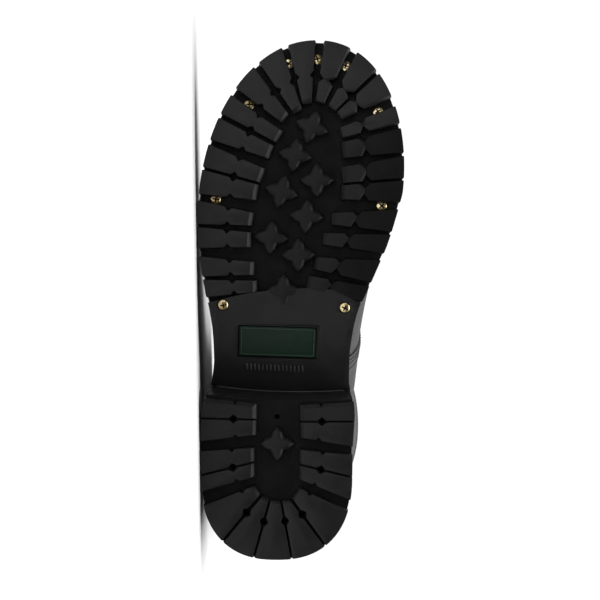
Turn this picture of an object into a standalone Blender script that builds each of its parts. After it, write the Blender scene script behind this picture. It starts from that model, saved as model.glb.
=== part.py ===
"""Logger boot, right foot: a nine-inch leather boot on a lugged rubber sole with a high heel.

The boot is drawn standing: x runs forward from the back of the heel, y towards the inner side of
the foot, z up from the floor. One empty then lays it down on its outer side. All the tables are
in millimetres, and MM turns them into Blender's metres.
"""
import math
from functools import lru_cache

import bpy
import bmesh
import numpy as np
from mathutils import Euler, Vector

MM = 0.001
NAME = "logger_boot"

# Driving sizes of the boot
LENGTH = 304.0            # sole, heel to toe
BALL_HALF = 59.85         # half width of the sole at the ball
HEEL_HALF = 44.5          # half width of the heel
SHAFT_TOP = 275.0         # collar above the floor
WALL = 3.0                # quarters of the upper, with their lining
VAMP_DROP = 1.2           # the vamp lies this much lower, under the quarters' edge
GAP = 0.3                 # between two pieces that meet
CURVED_GAP = 0.5          # between two curved skins
UPPER_COLUMNS = 8         # on each side of the upper's grid
SKIRT = 4.0               # the upper is cut level from a grid that runs this far below its edge

# Layers of the sole, from the floor up
LUG_DEPTH = 6.0
SHANK_DROP = 0.6          # the shank's face lies this much above the tips of the lugs
SLAB = 10.5               # whole thickness of the outsole
MIDSOLE = 4.5
WELT = 3.5
WELT_HEEL_GAP = 2.4
INSOLE = 3.0
INSOLE_INSET = 1.8         # from the inside of the upper
HEEL_LIFT = 16.0
DRAFT = 0.35              # a lug is this much wider at its root, on each side
ROOT = 1.0                # a lug's root reaches this far into the base

# The boot lies on its outer side: it turns, then shifts until it touches the floor
LIE_DEGREES = (89.71, -0.86, 180.0)
LIE_SHIFT = (151.33, -145.26, 45.07)

# Height of the sole's underside along the boot: heel seat, shank, ball, toe spring
RISE = (
    # x, height
    (0, 36.0), (50, 34.8), (80, 33.0), (95, 30.0), (105, 25.6), (115, 20.0), (125, 14.0),
    (135, 8.4), (145, 3.6), (155, 0.8), (165, 0.0), (212, 0.0), (230, 0.9), (255, 3.8),
    (280, 8.2), (304, 14.0),
)

# Half widths of the sole between the rounded heel and the rounded toe
EDGE = (
    # x, outer side, inner side
    (50, 45.4, 43.6), (65, 45.7, 43.9), (85, 45.1, 45.0), (95, 43.2, 44.2), (104, 40.0, 42.4),
    (119, 38.3, 42.6), (134, 38.9, 44.4), (147, 40.7, 47.6), (157, 42.7, 52.2), (171, 45.1, 58.4),
    (185, 46.9, 64.3), (204, 47.8, 70.2), (215, 46.5, 73.2),
)
HEEL_X, HEEL_ROUND, HEEL_SWING = 50.0, 2.4, -0.9
BALL_X, TOE_ROUND = 215.0, 2.1
BALL_SWING, TOE_SWING = 13.35, 0.105      # the toe turns inwards along this line

# The welt's width outside the upper
WELT_WIDTH = (
    # x, outer side, inner side
    (0, 6.0, 6.0), (60, 5.5, 5.0), (95, 4.0, 2.5), (119, 2.6, 2.2), (147, 3.0, 3.2),
    (171, 4.6, 4.8), (215, 5.8, 5.8), (304, 6.5, 6.5),
)

# Side lugs of the forepart: where each starts and ends along the edge, from the toe point
OUTER_LUGS = (
    # from, to, tip x, tip y, tip width
    (0.6, 17.1, 267.1, 17.0, 5.5), (21.2, 37.3, 262.4, 11.6, 5.5), (41.3, 57.4, 258.5, 4.0, 6.5),
    (62.4, 74.7, 247.7, 0.8, 7.5), (77.4, 91.1, 238.9, -4.1, 8.0), (93.9, 107.4, 225.2, -9.2, 8.5),
    (109.1, 123.5, 215.4, -12.3, 9.0), (127.4, 141.4, 199.7, -15.0, 7.5),
    (142.9, 155.4, 187.6, -15.9, 8.5), (160.3, 172.3, 170.8, -14.2, 7.5),
    (174.1, 184.6, 160.4, -12.5, 6.5),
)
INNER_LUGS = (
    (4.8, 20.8, 268.0, 24.9, 5.5), (25.6, 41.1, 264.4, 31.8, 5.0), (43.6, 58.8, 260.0, 36.2, 5.0),
    (64.8, 74.7, 250.1, 37.4, 6.0), (77.9, 92.0, 240.0, 38.0, 9.0), (94.1, 106.9, 225.5, 38.0, 9.0),
    (108.4, 121.3, 215.4, 37.5, 8.0), (125.8, 139.4, 199.9, 31.8, 6.5),
    (141.2, 152.8, 188.2, 26.7, 6.5), (157.5, 171.6, 173.9, 21.7, 7.0),
    (174.2, 184.0, 163.0, 17.6, 7.0),
)
OUTER_NOTCH, INNER_NOTCH = 0.55, 0.62     # how far in from the edge a lug narrows
NOTCH_DEPTH, NOTCH_HALF = 1.5, 2.0

# Star lugs down the middle of the forepart, and the one in the heel
STARS = (
    # x, y, turn in degrees
    (253.6, 19.9, 20), (237.2, 10.0, 10), (222.6, 22.8, 0), (215.9, 2.0, 15), (201.4, 16.6, 5),
    (189.0, -4.1, 5), (178.9, 11.9, 0), (157.6, 3.2, 0),
)
STAR_TIP, STAR_SHOULDER, STAR_NOTCH = 9.5, 6.6, 4.3
HEEL_STAR = (68.0, -0.5)

# Lugs of the heel: along its edge from the back point, and the corners of the inner end
HEEL_OUTER_LUGS = (
    # from, to, inner corner x, y, inner corner x, y
    (121.5, 96.4, 91.4, -13.0, 73.2, -13.0), (90.5, 67.0, 65.8, -14.1, 48.6, -14.1),
    (58.4, 34.9, 43.5, -14.0, 38.6, -10.6), (33.7, 14.0, 37.2, -9.3, 35.4, -5.4),
)
HEEL_INNER_LUGS = (
    (119.0, 93.2, 90.5, 13.4, 71.7, 13.4), (88.2, 61.9, 64.7, 12.8, 47.1, 12.8),
    (55.3, 31.0, 42.0, 12.8, 36.0, 8.4), (29.8, 9.6, 34.8, 7.2, 34.2, 2.5),
)
HEEL_BACK_LUG = (12.8, 8.4, 34.8, -4.2, 34.2, 1.3)
# Slits and nail holes of the four side blocks
HEEL_SLITS = (
    # edge x, edge y, inner x, inner y, hole x, hole y
    (82.6, -50, 82.6, -9, 82.6, -26.1), (50.0, -50, 57.5, -9, 54.2, -26.5),
    (80.8, 50, 81.2, 9, 81.1, 25.8), (48.3, 50, 55.4, 9, 52.9, 25.2),
)
HEEL_HOLE = (83.8, -0.5)
SLIT, NAIL_HOLE = 1.2, 3.4

# The heel's front face: hollow in plan, and leaning forwards on its way up
BREAST = 91.8
BREAST_LEAN = 0.185
BREAST_HOLLOW, BREAST_SKEW = 2.5, -1.5
SHANK_FOOT = 29.0         # height at which the shank's face meets the heel

# Brass screws of the forepart
SCREWS = (
    # x, y
    (266.5, -17.0), (290.2, 6.3), (293.0, 23.2), (289.0, 40.0), (262.4, 58.9), (211.6, -36.6),
    (207.6, 60.9), (149.6, -32.2), (147.9, 39.2),
)
SCREW_HEAD, SCREW_STEM = 6.3, 3.0

# Nameless plate in its frame on the shank
PLATE_X, PLATE_Y, PLATE_TURN = 127.9, 0.3, -1.5
PLATE_SIZE = (20.0, 43.5, 1.2)
FRAME_RIM, FRAME_PROUD = 1.5, 0.8

# Sections of the upper. Each runs from its low point, on the seat or up the back of the heel, to
# its top point on the ridge of the foot or the front of the shaft.
SECTIONS = (
    # low x, low above seat, top x, top z, outer y, inner y, ridge y, widest, roundness
    (297.5, 0, 297.5, 27.8, 22.0, 22.0, 22.0, 0.30, 0.85),
    (297.0, 0, 297.1, 38.4, 14.6, 29.4, 22.0, 0.30, 0.85),
    (295.5, 0, 295.5, 46.2, 8.0, 35.8, 21.9, 0.30, 0.85),
    (291.0, 0, 290.8, 56.0, -3.0, 45.8, 21.5, 0.30, 0.85),
    (283.0, 0, 282.4, 63.4, -14.2, 55.0, 21.0, 0.30, 0.86),
    (270.0, 0, 268.4, 68.2, -25.2, 63.2, 20.4, 0.30, 0.88),
    (252.0, 0, 249.0, 72.0, -34.6, 68.6, 19.5, 0.31, 0.92),
    (232.0, 0, 227.0, 79.0, -40.8, 70.4, 18.5, 0.32, 0.96),
    (212.0, 0, 205.5, 90.5, -43.8, 69.0, 17.0, 0.32, 1.02),
    (190.0, 0, 187.0, 103.5, -44.2, 64.4, 15.0, 0.33, 1.10),
    (165.0, 0, 172.5, 116.0, -42.6, 57.6, 12.5, 0.35, 1.14),
    (140.0, 0, 162.0, 127.0, -41.0, 53.4, 10.0, 0.38, 1.12),
    (112.0, 0, 155.0, 136.0, -40.0, 50.4, 8.0, 0.42, 1.08),
    (80.0, 0, 150.0, 143.5, -39.6, 47.4, 6.5, 0.46, 1.04),
    (47.0, 0, 148.0, 147.5, -39.4, 45.2, 5.7, 0.50, 1.01),
    (24.0, 0, 146.6, 150.5, -39.3, 44.0, 5.2, 0.52, 0.99),
    (11.5, 0, 145.6, 153.0, -39.2, 43.2, 4.9, 0.53, 0.98),
    (7.2, 0, 144.8, 155.5, -39.2, 42.7, 4.6, 0.54, 0.97),
    (6.0, 0, 143.9, 158.5, -39.2, 42.4, 4.4, 0.54, 0.97),
    (5.3, 4, 143.1, 161.5, -39.3, 42.3, 4.2, 0.54, 0.96),
    (2.8, 16, 142.1, 165.5, -39.4, 42.3, 4.1, 0.53, 0.96),
    (1.8, 30, 141.2, 170.0, -39.6, 42.4, 3.9, 0.53, 0.96),
    (3.4, 46, 140.2, 175.5, -39.9, 42.6, 3.8, 0.52, 0.96),
    (7.4, 67, 138.1, 187.0, -40.6, 43.4, 3.5, 0.51, 0.95),
    (10.6, 92, 136.2, 201.0, -41.7, 44.7, 3.2, 0.50, 0.95),
    (11.0, 120, 134.6, 217.0, -43.2, 46.6, 3.0, 0.50, 0.94),
    (8.4, 150, 133.2, 236.0, -44.8, 49.0, 2.8, 0.50, 0.94),
    (4.4, 185, 132.1, 256.0, -46.4, 51.0, 2.7, 0.50, 0.93),
    (0.0, SHAFT_TOP - 51.6, 131.0, SHAFT_TOP + 2.0, -47.6, 52.6, 2.6, 0.50, 0.93),
    (-1.0, SHAFT_TOP - 37.0, 130.5, SHAFT_TOP + 16.0, -48.0, 53.0, 2.6, 0.50, 0.93),
)
COLLAR_ROW = 28           # the upper ends here; the last section serves the tongue
HALFWAY_ROWS = (7.5, 8.5, 9.5, 14.5, 15.5)
THROAT_ROW = 8            # the lacing starts here
THROAT_LENGTH = 3.0       # in rows, from its foot to its full width
SLIT_HALF = 12.0          # half width of the open throat

# The tongue, under the throat
TONGUE_ROW, TONGUE_HALF, TONGUE_WALL = 7.3, 27.0, 2.6
TONGUE_DROP = 2.4         # below the inside of the upper

# Outlines of the overlays, seen from the side
COUNTER = ((-12, 40), (78, 40), (74, 62), (62, 84), (42, 102), (18, 112), (-12, 114))
VAMP = ((114, -20), (114, 25), (121, 55), (128, 78), (138, 88), (152, 93), (172, 92), (186, 88),
        (194, 84.5), (198, 88), (198, 150), (330, 150), (330, -20))
FACING_ROW, FACING_WIDTH = 8.6, 19.0      # eyelet facings, along the throat
BACKSTAY_WIDTH = 20.0
OVERLAY = 1.4
FACING_GAP = 0.8

# Eyelets and lace
EYELET_ROWS = (9.15, 10.2, 11.6, 14.2, 20.9, 23.3, 24.8, 26.05, 27.2)
EYELET_SIDE = 9.5         # from the edge of the throat to the middle of an eyelet
EYELET_HOLE, EYELET_BARREL, EYELET_FLANGE, EYELET_RIM = 2.0, 2.6, 4.3, 0.8
LACE_RADIUS = 1.6

COLOURS = {
    # name: red, green, blue, roughness, metallic
    "sole_rubber": (0.020, 0.020, 0.022, 0.55, 0.0),
    "heel_stack": (0.022, 0.020, 0.020, 0.50, 0.0),
    "edge_leather": (0.030, 0.026, 0.024, 0.45, 0.0),
    "black_leather": (0.016, 0.015, 0.015, 0.32, 0.0),
    "insole_leather": (0.420, 0.300, 0.200, 0.80, 0.0),
    "brass": (0.720, 0.530, 0.240, 0.30, 1.0),
    "green_plate": (0.010, 0.070, 0.035, 0.40, 0.0),
    "lace": (0.018, 0.018, 0.018, 0.75, 0.0),
}


def clear_scene():
    """Remove whatever the file starts with."""
    for item in list(bpy.data.objects):
        bpy.data.objects.remove(item, do_unlink=True)


def new_collection(name):
    collection = bpy.data.collections.new(name)
    bpy.context.scene.collection.children.link(collection)
    return collection


clear_scene()
PARTS = new_collection(NAME)
CUTTERS = new_collection(NAME + "_cutters")


def make_materials():
    """One Principled material for each finish."""
    made = {}
    for name, (red, green, blue, roughness, metallic) in COLOURS.items():
        material = bpy.data.materials.new(name)
        material.use_nodes = True
        shader = material.node_tree.nodes["Principled BSDF"]
        shader.inputs["Base Color"].default_value = (red, green, blue, 1.0)
        shader.inputs["Roughness"].default_value = roughness
        shader.inputs["Metallic"].default_value = metallic
        made[name] = material
    return made


MATERIALS = make_materials()
LYING = bpy.data.objects.new("lying_boot", None)
bpy.context.scene.collection.objects.link(LYING)
LYING.rotation_euler = Euler([math.radians(angle) for angle in LIE_DEGREES])
LYING.location = Vector(LIE_SHIFT) * MM


# ---------------------------------------------------------------- helpers

def add_object(name, mesh, material, collection=None):
    """Put a mesh in the scene as one named piece of the boot."""
    piece = bpy.data.objects.new(name, mesh)
    (collection or PARTS).objects.link(piece)
    if material:
        mesh.materials.append(MATERIALS[material])
    piece.parent = LYING
    return piece


def add_cutter(name, mesh):
    cutter = add_object(name, mesh, None, CUTTERS)
    cutter.hide_render = True
    cutter.display_type = "WIRE"
    return cutter


def finish(bm, name):
    """Close a bmesh into a mesh with its faces pointing out."""
    bmesh.ops.remove_doubles(bm, verts=bm.verts, dist=0.002 * MM)
    bmesh.ops.recalc_face_normals(bm, faces=bm.faces)
    mesh = bpy.data.meshes.new(name)
    bm.to_mesh(mesh)
    bm.free()
    return mesh


def combine(piece, operation, other):
    """Cut, join or intersect a piece with another object."""
    modifier = piece.modifiers.new(operation.lower(), "BOOLEAN")
    modifier.operation = operation
    modifier.object = other
    modifier.solver = "EXACT"
    return modifier


def round_off(piece, angle=35):
    piece.data.shade_smooth()
    piece.data.set_sharp_from_angle(angle=math.radians(angle))


def through(table, x, column):
    """Value at x of the smooth curve through one column of a table, without overshoot."""
    xs = [row[0] for row in table]
    ys = [row[column] for row in table]
    return curve_value(xs, ys, x)


def curve_value(xs, ys, x):
    """Cubic curve through the points (xs, ys) whose slopes never overshoot them."""
    x = min(max(x, xs[0]), xs[-1])
    i = min(int(np.searchsorted(xs, x, side="right")) - 1, len(xs) - 2)

    def slope(k):
        if k <= 0 or k >= len(xs) - 1:
            k = min(max(k, 1), len(xs) - 1)
            return (ys[k] - ys[k - 1]) / (xs[k] - xs[k - 1])
        before = (ys[k] - ys[k - 1]) / (xs[k] - xs[k - 1])
        after = (ys[k + 1] - ys[k]) / (xs[k + 1] - xs[k])
        return 0.0 if before * after <= 0 else 2 * before * after / (before + after)

    span = xs[i + 1] - xs[i]
    t = (x - xs[i]) / span
    start, end = slope(i) * span, slope(i + 1) * span
    return ((2 * t**3 - 3 * t**2 + 1) * ys[i] + (t**3 - 2 * t**2 + t) * start
            + (3 * t**2 - 2 * t**3) * ys[i + 1] + (t**3 - t**2) * end)


# ---------------------------------------------------------------- outline and heights

def rise(x):
    """Height of the tips of the lugs, and of the shank, above the floor."""
    return through(RISE, x, 1)


def slope_angle(x):
    """Angle of the sole's underside at x."""
    return math.atan2(rise(x + 1) - rise(x - 1), 2)


def seat(x):
    """Height of the midsole's top, with the gaps between the layers."""
    return rise(x) + SLAB + GAP + MIDSOLE + GAP


def edge(x, side, inset=0.0):
    """Sole outline at x: y of the inner (side 1) or outer (side -1) edge, moved in by inset."""
    if x >= BALL_X:
        reach = min((x - BALL_X) / (LENGTH - inset - BALL_X), 1.0)
        half = (BALL_HALF - inset) * (1 - reach**TOE_ROUND) ** (1 / TOE_ROUND)
        return BALL_SWING + TOE_SWING * (x - BALL_X) + side * half
    if x <= HEEL_X:
        reach = min((HEEL_X - x) / (HEEL_X - inset), 1.0)
        half = (HEEL_HALF - inset) * (1 - reach**HEEL_ROUND) ** (1 / HEEL_ROUND)
        return HEEL_SWING + side * half
    return side * (through(EDGE, x, 1 if side < 0 else 2) - inset)


def feather(x, side):
    """Edge of the upper where it meets the sole."""
    return edge(x, side, through(WELT_WIDTH, x, 1 if side < 0 else 2))


def stations(start, end, inset=0.0, round_steps=7, straight=9.0):
    """Values of x along the sole, close together where its ends are round."""
    heel_end, toe_end = inset, LENGTH - inset
    xs = []
    for k in range(round_steps):
        turn = math.cos(math.pi / 2 * k / round_steps)
        xs.append(HEEL_X - (HEEL_X - heel_end) * turn ** (2 / HEEL_ROUND))
        xs.append(BALL_X + (toe_end - BALL_X) * turn ** (2 / TOE_ROUND))
    count = round((BALL_X - HEEL_X) / straight)
    xs += [HEEL_X + (BALL_X - HEEL_X) * k / count for k in range(count + 1)]
    inside = sorted(x for x in xs if start + 0.5 < x < end - 0.5)
    return [max(start, heel_end)] + inside + [min(end, toe_end)]


def rungs(xs, inset=0.0, columns=3):
    """Rows of points across the sole from its outer to its inner edge."""
    rows = []
    for x in xs:
        outer, inner = edge(x, -1, inset), edge(x, 1, inset)
        rows.append([(x, outer + (inner - outer) * k / (columns - 1)) for k in range(columns)])
    return rows


def slab(name, rows, low, high, high_rows=None):
    """Closed plate over a grid of (x, y) points, between two heights given as functions of x.

    high_rows is the grid of the top, where it differs from the bottom's.
    """
    bm = bmesh.new()
    bottom, top = ([[bm.verts.new(Vector((x, y, height(x))) * MM) for x, y in row] for row in grid]
                   for grid, height in ((rows, low), (high_rows or rows, high)))
    last_row, last_column = len(rows) - 1, len(rows[0]) - 1
    for i in range(last_row):
        for j in range(last_column):
            bm.faces.new((bottom[i][j], bottom[i][j + 1], bottom[i + 1][j + 1], bottom[i + 1][j]))
            bm.faces.new((top[i][j], top[i + 1][j], top[i + 1][j + 1], top[i][j + 1]))
    rim = [(0, j) for j in range(last_column)]
    rim += [(i, last_column) for i in range(last_row)]
    rim += [(last_row, j) for j in range(last_column, 0, -1)]
    rim += [(i, 0) for i in range(last_row, 0, -1)]
    for (i, j), (k, m) in zip(rim, rim[1:] + rim[:1]):
        bm.faces.new((top[i][j], top[k][m], bottom[k][m], bottom[i][j]))
    return finish(bm, name)


def grow(points, amount):
    """Outline moved outwards by an amount, or by amount(x)."""
    area = sum(a.x * b.y - b.x * a.y for a, b in zip(points, points[1:] + points[:1]))
    outwards = 1 if area > 0 else -1
    grown = []
    for before, point, after in zip(points[-1:] + points[:-1], points, points[1:] + points[:1]):
        first, second = (point - before).normalized(), (after - point).normalized()
        normal = Vector((first.y + second.y, -first.x - second.x)) * outwards
        reach = (amount(point.x) if callable(amount) else amount) / max(normal.length / 2, 0.5)
        grown.append(point + normal.normalized() * reach)
    return grown


def add_block(bm, outline, low, high, draft=DRAFT):
    """Tapered block over an outline: its tip at height low(x), its wider root at high(x)."""
    root = grow(outline, draft)
    tip_verts = [bm.verts.new(Vector((p.x, p.y, low(p.x))) * MM) for p in outline]
    root_verts = [bm.verts.new(Vector((p.x, p.y, high(p.x))) * MM) for p in root]
    bm.faces.new(tip_verts)
    bm.faces.new(list(reversed(root_verts)))
    count = len(outline)
    for k in range(count):
        m = (k + 1) % count
        bm.faces.new((tip_verts[m], tip_verts[k], root_verts[k], root_verts[m]))


def flat_outline(name, points, low, high, axis="Z"):
    """Straight-sided solid from a flat outline: along Z over (x, y), or along Y over (x, z)."""
    curve = bpy.data.curves.new(name, "CURVE")
    curve.dimensions = "2D"
    curve.fill_mode = "BOTH"
    curve.extrude = (high - low) / 2 * MM
    spline = curve.splines.new("POLY")
    spline.points.add(len(points) - 1)
    for place, (u, v) in zip(spline.points, points):
        place.co = (u * MM, v * MM, 0, 1)
    spline.use_cyclic_u = True
    middle = (low + high) / 2 * MM
    guide = bpy.data.objects.new(name, curve)
    bpy.context.scene.collection.objects.link(guide)
    if axis == "Y":
        guide.rotation_euler = (math.pi / 2, 0, 0)
        guide.location = (0, middle, 0)
    else:
        guide.location = (0, 0, middle)
    bpy.context.view_layer.update()
    mesh = bpy.data.meshes.new_from_object(guide.evaluated_get(bpy.context.evaluated_depsgraph_get()))
    mesh.transform(guide.matrix_world)
    bpy.data.objects.remove(guide, do_unlink=True)
    bm = bmesh.new()
    bm.from_mesh(mesh)
    return finish(bm, name)


def box(name, size, centre, turn=(0, 0, 0)):
    """Box of a size in mm, turned by degrees about its centre."""
    bm = bmesh.new()
    bmesh.ops.create_cube(bm, size=1.0)
    bmesh.ops.scale(bm, vec=Vector(size) * MM, verts=bm.verts)
    rotation = Euler([math.radians(angle) for angle in turn]).to_matrix()
    bmesh.ops.rotate(bm, matrix=rotation, verts=bm.verts)
    bmesh.ops.translate(bm, vec=Vector(centre) * MM, verts=bm.verts)
    return finish(bm, name)


def cylinder_at(bm, radius, length, centre, axis=(0, 0, 1), sides=12, far_radius=None):
    """Add a cylinder, or a cone, with its middle at centre and its length along axis."""
    made = bmesh.ops.create_cone(bm, cap_ends=True, segments=sides, radius1=radius * MM,
                                 radius2=(radius if far_radius is None else far_radius) * MM,
                                 depth=length * MM)
    turn = Vector(axis).to_track_quat("Z", "Y").to_matrix()
    bmesh.ops.rotate(bm, matrix=turn, verts=made["verts"])
    bmesh.ops.translate(bm, vec=Vector(centre) * MM, verts=made["verts"])


# ---------------------------------------------------------------- forepart of the sole

def edge_line(side, from_toe=True):
    """Points of one side's edge, with their distance along it from the toe or heel point."""
    steps = [math.pi / 2 * k / 60 for k in range(61)]
    if from_toe:
        xs = [BALL_X + (LENGTH - BALL_X) * math.cos(a) ** (2 / TOE_ROUND) for a in steps]
        xs += [BALL_X - (BALL_X - 110) * k / 60 for k in range(1, 61)]
    else:
        xs = [HEEL_X - HEEL_X * math.cos(a) ** (2 / HEEL_ROUND) for a in steps]
        xs += [HEEL_X + (100 - HEEL_X) * k / 60 for k in range(1, 61)]
    points = np.array([(x, edge(x, side)) for x in xs])
    lengths = np.hypot(*np.diff(points, axis=0).T)
    return np.concatenate(([0], np.cumsum(lengths))), points


EDGE_LINES = {(side, toe): edge_line(side, toe) for side in (-1, 1) for toe in (True, False)}


def edge_point(distance, side, from_toe=True):
    """Point on the sole's edge, a distance along it from the toe or heel point."""
    lengths, points = EDGE_LINES[side, from_toe]
    return Vector([float(np.interp(distance, lengths, points[:, k])) for k in (0, 1)])


def notch(start, end, fraction, towards):
    """Three points of a small V cut into the line from start to end."""
    along = (end - start).normalized()
    middle = start.lerp(end, fraction)
    return [middle - along * NOTCH_HALF, middle + towards * NOTCH_DEPTH, middle + along * NOTCH_HALF]


def lug_outline(row, side):
    """Outline of one side lug: a wide outer block, a notch on each side, a narrower inner block."""
    start, end, tip_x, tip_y, tip_width = row
    front, back = edge_point(start, side), edge_point(end, side)
    tip = Vector((tip_x, tip_y))
    inwards = (tip - (front + back) / 2).normalized()
    across = Vector((-inwards.y, inwards.x))
    if across.dot(front - back) < 0:
        across = -across
    near, far = tip + across * tip_width / 2, tip - across * tip_width / 2
    fraction = OUTER_NOTCH if side < 0 else INNER_NOTCH
    middle = edge_point((start + end) / 2, side)
    outline = [front] + notch(front, near, fraction, -across) + [near, far]
    return outline + notch(far, back, 1 - fraction, across) + [back, middle]


def star_outline(x, y, turn):
    """Four-pointed star with pointed petals."""
    reach = (STAR_TIP, STAR_SHOULDER, STAR_NOTCH, STAR_SHOULDER)
    outline = []
    for k in range(16):
        angle = math.radians(turn + 22.5 * k)
        outline.append(Vector((x, y)) + Vector((math.cos(angle), math.sin(angle))) * reach[k % 4])
    return outline


def lug_tip(x):
    return rise(x)


def lug_root(x):
    return rise(x) + LUG_DEPTH + ROOT


def breast(y, z):
    """x of the heel's front face."""
    across = y / HEEL_HALF
    return BREAST + BREAST_LEAN * z + BREAST_HOLLOW * across**2 + BREAST_SKEW * across


def shank_rows(height):
    """Grid of the thick shank, from the heel's front face at a height to the forepart's lugs."""
    front = ((-1, 150.8), (-0.35, 156.6), (0.05, 158.4), (0.45, 159.4), (1, 150.3))
    rows = []
    steps = 8
    for i in range(steps + 1):
        row = []
        for across, front_x in front:
            start = breast(across * HEEL_HALF, height) + 2 * GAP
            x = start + (front_x - start) * i / steps
            half = edge(x, 1 if across > 0 else -1, GAP)
            row.append((x, abs(across) * half))
        rows.append(row)
    return rows


def make_outsole():
    """Rubber outsole: base plate, thick shank, side lugs and stars in one piece."""
    def base_low(x):
        return rise(x) + LUG_DEPTH

    def base_high(x):
        return rise(x) + SLAB

    inset = 1.0
    rows = rungs(stations(0, LENGTH, inset), inset)
    outsole = add_object("outsole", slab("outsole", rows, base_low, base_high), "sole_rubber")
    shank = slab("shank", shank_rows(SHANK_FOOT), lambda x: rise(x) + SHANK_DROP, lug_root,
                 shank_rows(SHANK_FOOT + LUG_DEPTH + ROOT))
    combine(outsole, "UNION", add_cutter("shank", shank))
    lugs = bmesh.new()
    for side, table in ((-1, OUTER_LUGS), (1, INNER_LUGS)):
        for row in table:
            add_block(lugs, lug_outline(row, side), lug_tip, lug_root)
    combine(outsole, "UNION", add_cutter("side_lugs", finish(lugs, "side_lugs")))
    stars = bmesh.new()
    for row in STARS:
        add_block(stars, star_outline(*row), lug_tip, lug_root, 0.6)
    combine(outsole, "UNION", add_cutter("stars", finish(stars, "stars")))
    cut_plate_frame(outsole)
    combine(outsole, "DIFFERENCE", add_cutter("screw_seats", screw_seats()))
    combine(outsole, "DIFFERENCE", add_cutter("screw_holes", screw_holes()))
    return outsole


def plate_place():
    """Centre of the plate on the shank's face, and its turn."""
    centre = (PLATE_X, PLATE_Y, rise(PLATE_X) + SHANK_DROP)
    return centre, (0, math.degrees(-slope_angle(PLATE_X)), PLATE_TURN)


def cut_plate_frame(outsole):
    """Raise a thin frame on the shank and sink the plate's bed inside it."""
    centre, turn = plate_place()
    length, width, depth = PLATE_SIZE
    rim = 2 * (GAP + FRAME_RIM)
    frame = box("plate_frame", (length + rim, width + rim, 2 * FRAME_PROUD), centre, turn)
    combine(outsole, "UNION", add_cutter("plate_frame", frame))
    bed = box("plate_bed", (length + 2 * GAP, width + 2 * GAP, 2 * (depth + GAP)), centre, turn)
    combine(outsole, "DIFFERENCE", add_cutter("plate_bed", bed))


def make_plate():
    """Bare plate let into the frame."""
    centre, turn = plate_place()
    up = Euler([math.radians(angle) for angle in turn]).to_matrix() @ Vector((0, 0, 1))
    middle = Vector(centre) + up * (PLATE_SIZE[2] / 2 - 0.1)
    return add_object("label_plate", box("label_plate", PLATE_SIZE, middle, turn), "green_plate")


def screw_axis(x):
    """Direction out of the sole's underside at x."""
    angle = slope_angle(x)
    return Vector((math.sin(angle), 0, -math.cos(angle)))


def screw_seat(x, y):
    """Point on the sole's underside where a screw's head sits."""
    on_shank = x < 155
    depth = SHANK_DROP + 1.0 if on_shank else LUG_DEPTH
    return Vector((x, y, rise(x) + depth))


def screw_holes():
    """Blind holes for the stems."""
    holes = bmesh.new()
    for x, y in SCREWS:
        cylinder_at(holes, SCREW_STEM / 2 + 2 * GAP, 6.0, screw_seat(x, y), screw_axis(x), 6)
    return finish(holes, "screw_holes")


def screw_seats():
    """Room for the heads, cut into the shank and into the lugs beside them."""
    seats = bmesh.new()
    depth = 8.0
    for x, y in SCREWS:
        centre = screw_seat(x, y) + screw_axis(x) * (depth / 2 - 0.15)
        cylinder_at(seats, SCREW_HEAD / 2 + 2 * GAP, depth, centre, screw_axis(x), 10)
    return finish(seats, "screw_seats")


def make_screws():
    """Round-headed brass screws."""
    for number, (x, y) in enumerate(SCREWS, start=1):
        body = bmesh.new()
        top = SCREW_HEAD / 2
        profile = ((0, 1.5), (top * 0.75, 1.2), (top, 0.3), (SCREW_STEM / 2, 0.3),
                   (SCREW_STEM / 2, -2.4), (0, -2.4))
        turned(body, profile, 8)
        direction = screw_axis(x).to_track_quat("Z", "Y").to_matrix()
        bmesh.ops.rotate(body, matrix=direction, verts=body.verts)
        bmesh.ops.translate(body, vec=screw_seat(x, y) * MM, verts=body.verts)
        add_object(f"screw_{number}", finish(body, f"screw_{number}"), "brass")


def turned(bm, profile, sides):
    """Add the closed solid that a profile of (radius, height) sweeps around Z."""
    rings = []
    for radius, height in profile:
        if radius == 0:
            rings.append([bm.verts.new((0, 0, height * MM))])
            continue
        rings.append([bm.verts.new((radius * MM * math.cos(2 * math.pi * k / sides),
                                    radius * MM * math.sin(2 * math.pi * k / sides), height * MM))
                      for k in range(sides)])
    for upper, lower in zip(rings, rings[1:]):
        for k in range(sides):
            m = (k + 1) % sides
            corners = [upper[k % len(upper)], upper[m % len(upper)],
                       lower[m % len(lower)], lower[k % len(lower)]]
            bm.faces.new(list(dict.fromkeys(corners)))


# ---------------------------------------------------------------- heel

def heel_rows(inset, height, columns=5, steps=6):
    """Grid of the heel in plan, up to its hollow front face at a height."""
    xs = [x for x in stations(0, 72, inset, round_steps=steps)]
    rows = rungs(xs, inset, columns)
    start = rows[-1]
    for fraction in (0.5, 1.0):
        row = []
        for (x, y), k in zip(start, range(columns)):
            side = -1 + 2 * k / (columns - 1)
            front = breast(side * 44, height)
            reach = x + (front - x) * fraction
            half = edge(reach, 1 if side > 0 else -1, inset)
            row.append((reach, abs(side) * half if abs(side) > 0.01 else y))
        rows.append(row)
    return rows


def corner_block(bm, row, side, outer_side=None):
    """One heel lug: an arc of the edge and two inner corners."""
    start, end, near_x, near_y, far_x, far_y = row
    first = edge_point(start, side if outer_side is None else outer_side, False)
    steps = 4
    arc = [first]
    if outer_side is None:
        arc += [edge_point(start + (end - start) * k / steps, side, False) for k in range(1, steps + 1)]
    else:
        arc += [edge_point(0, side, False), edge_point(end, side, False)]
    add_block(bm, arc + [Vector((far_x, far_y)), Vector((near_x, near_y))],
              lambda x: 0.0, lambda x: LUG_DEPTH + ROOT)


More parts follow.
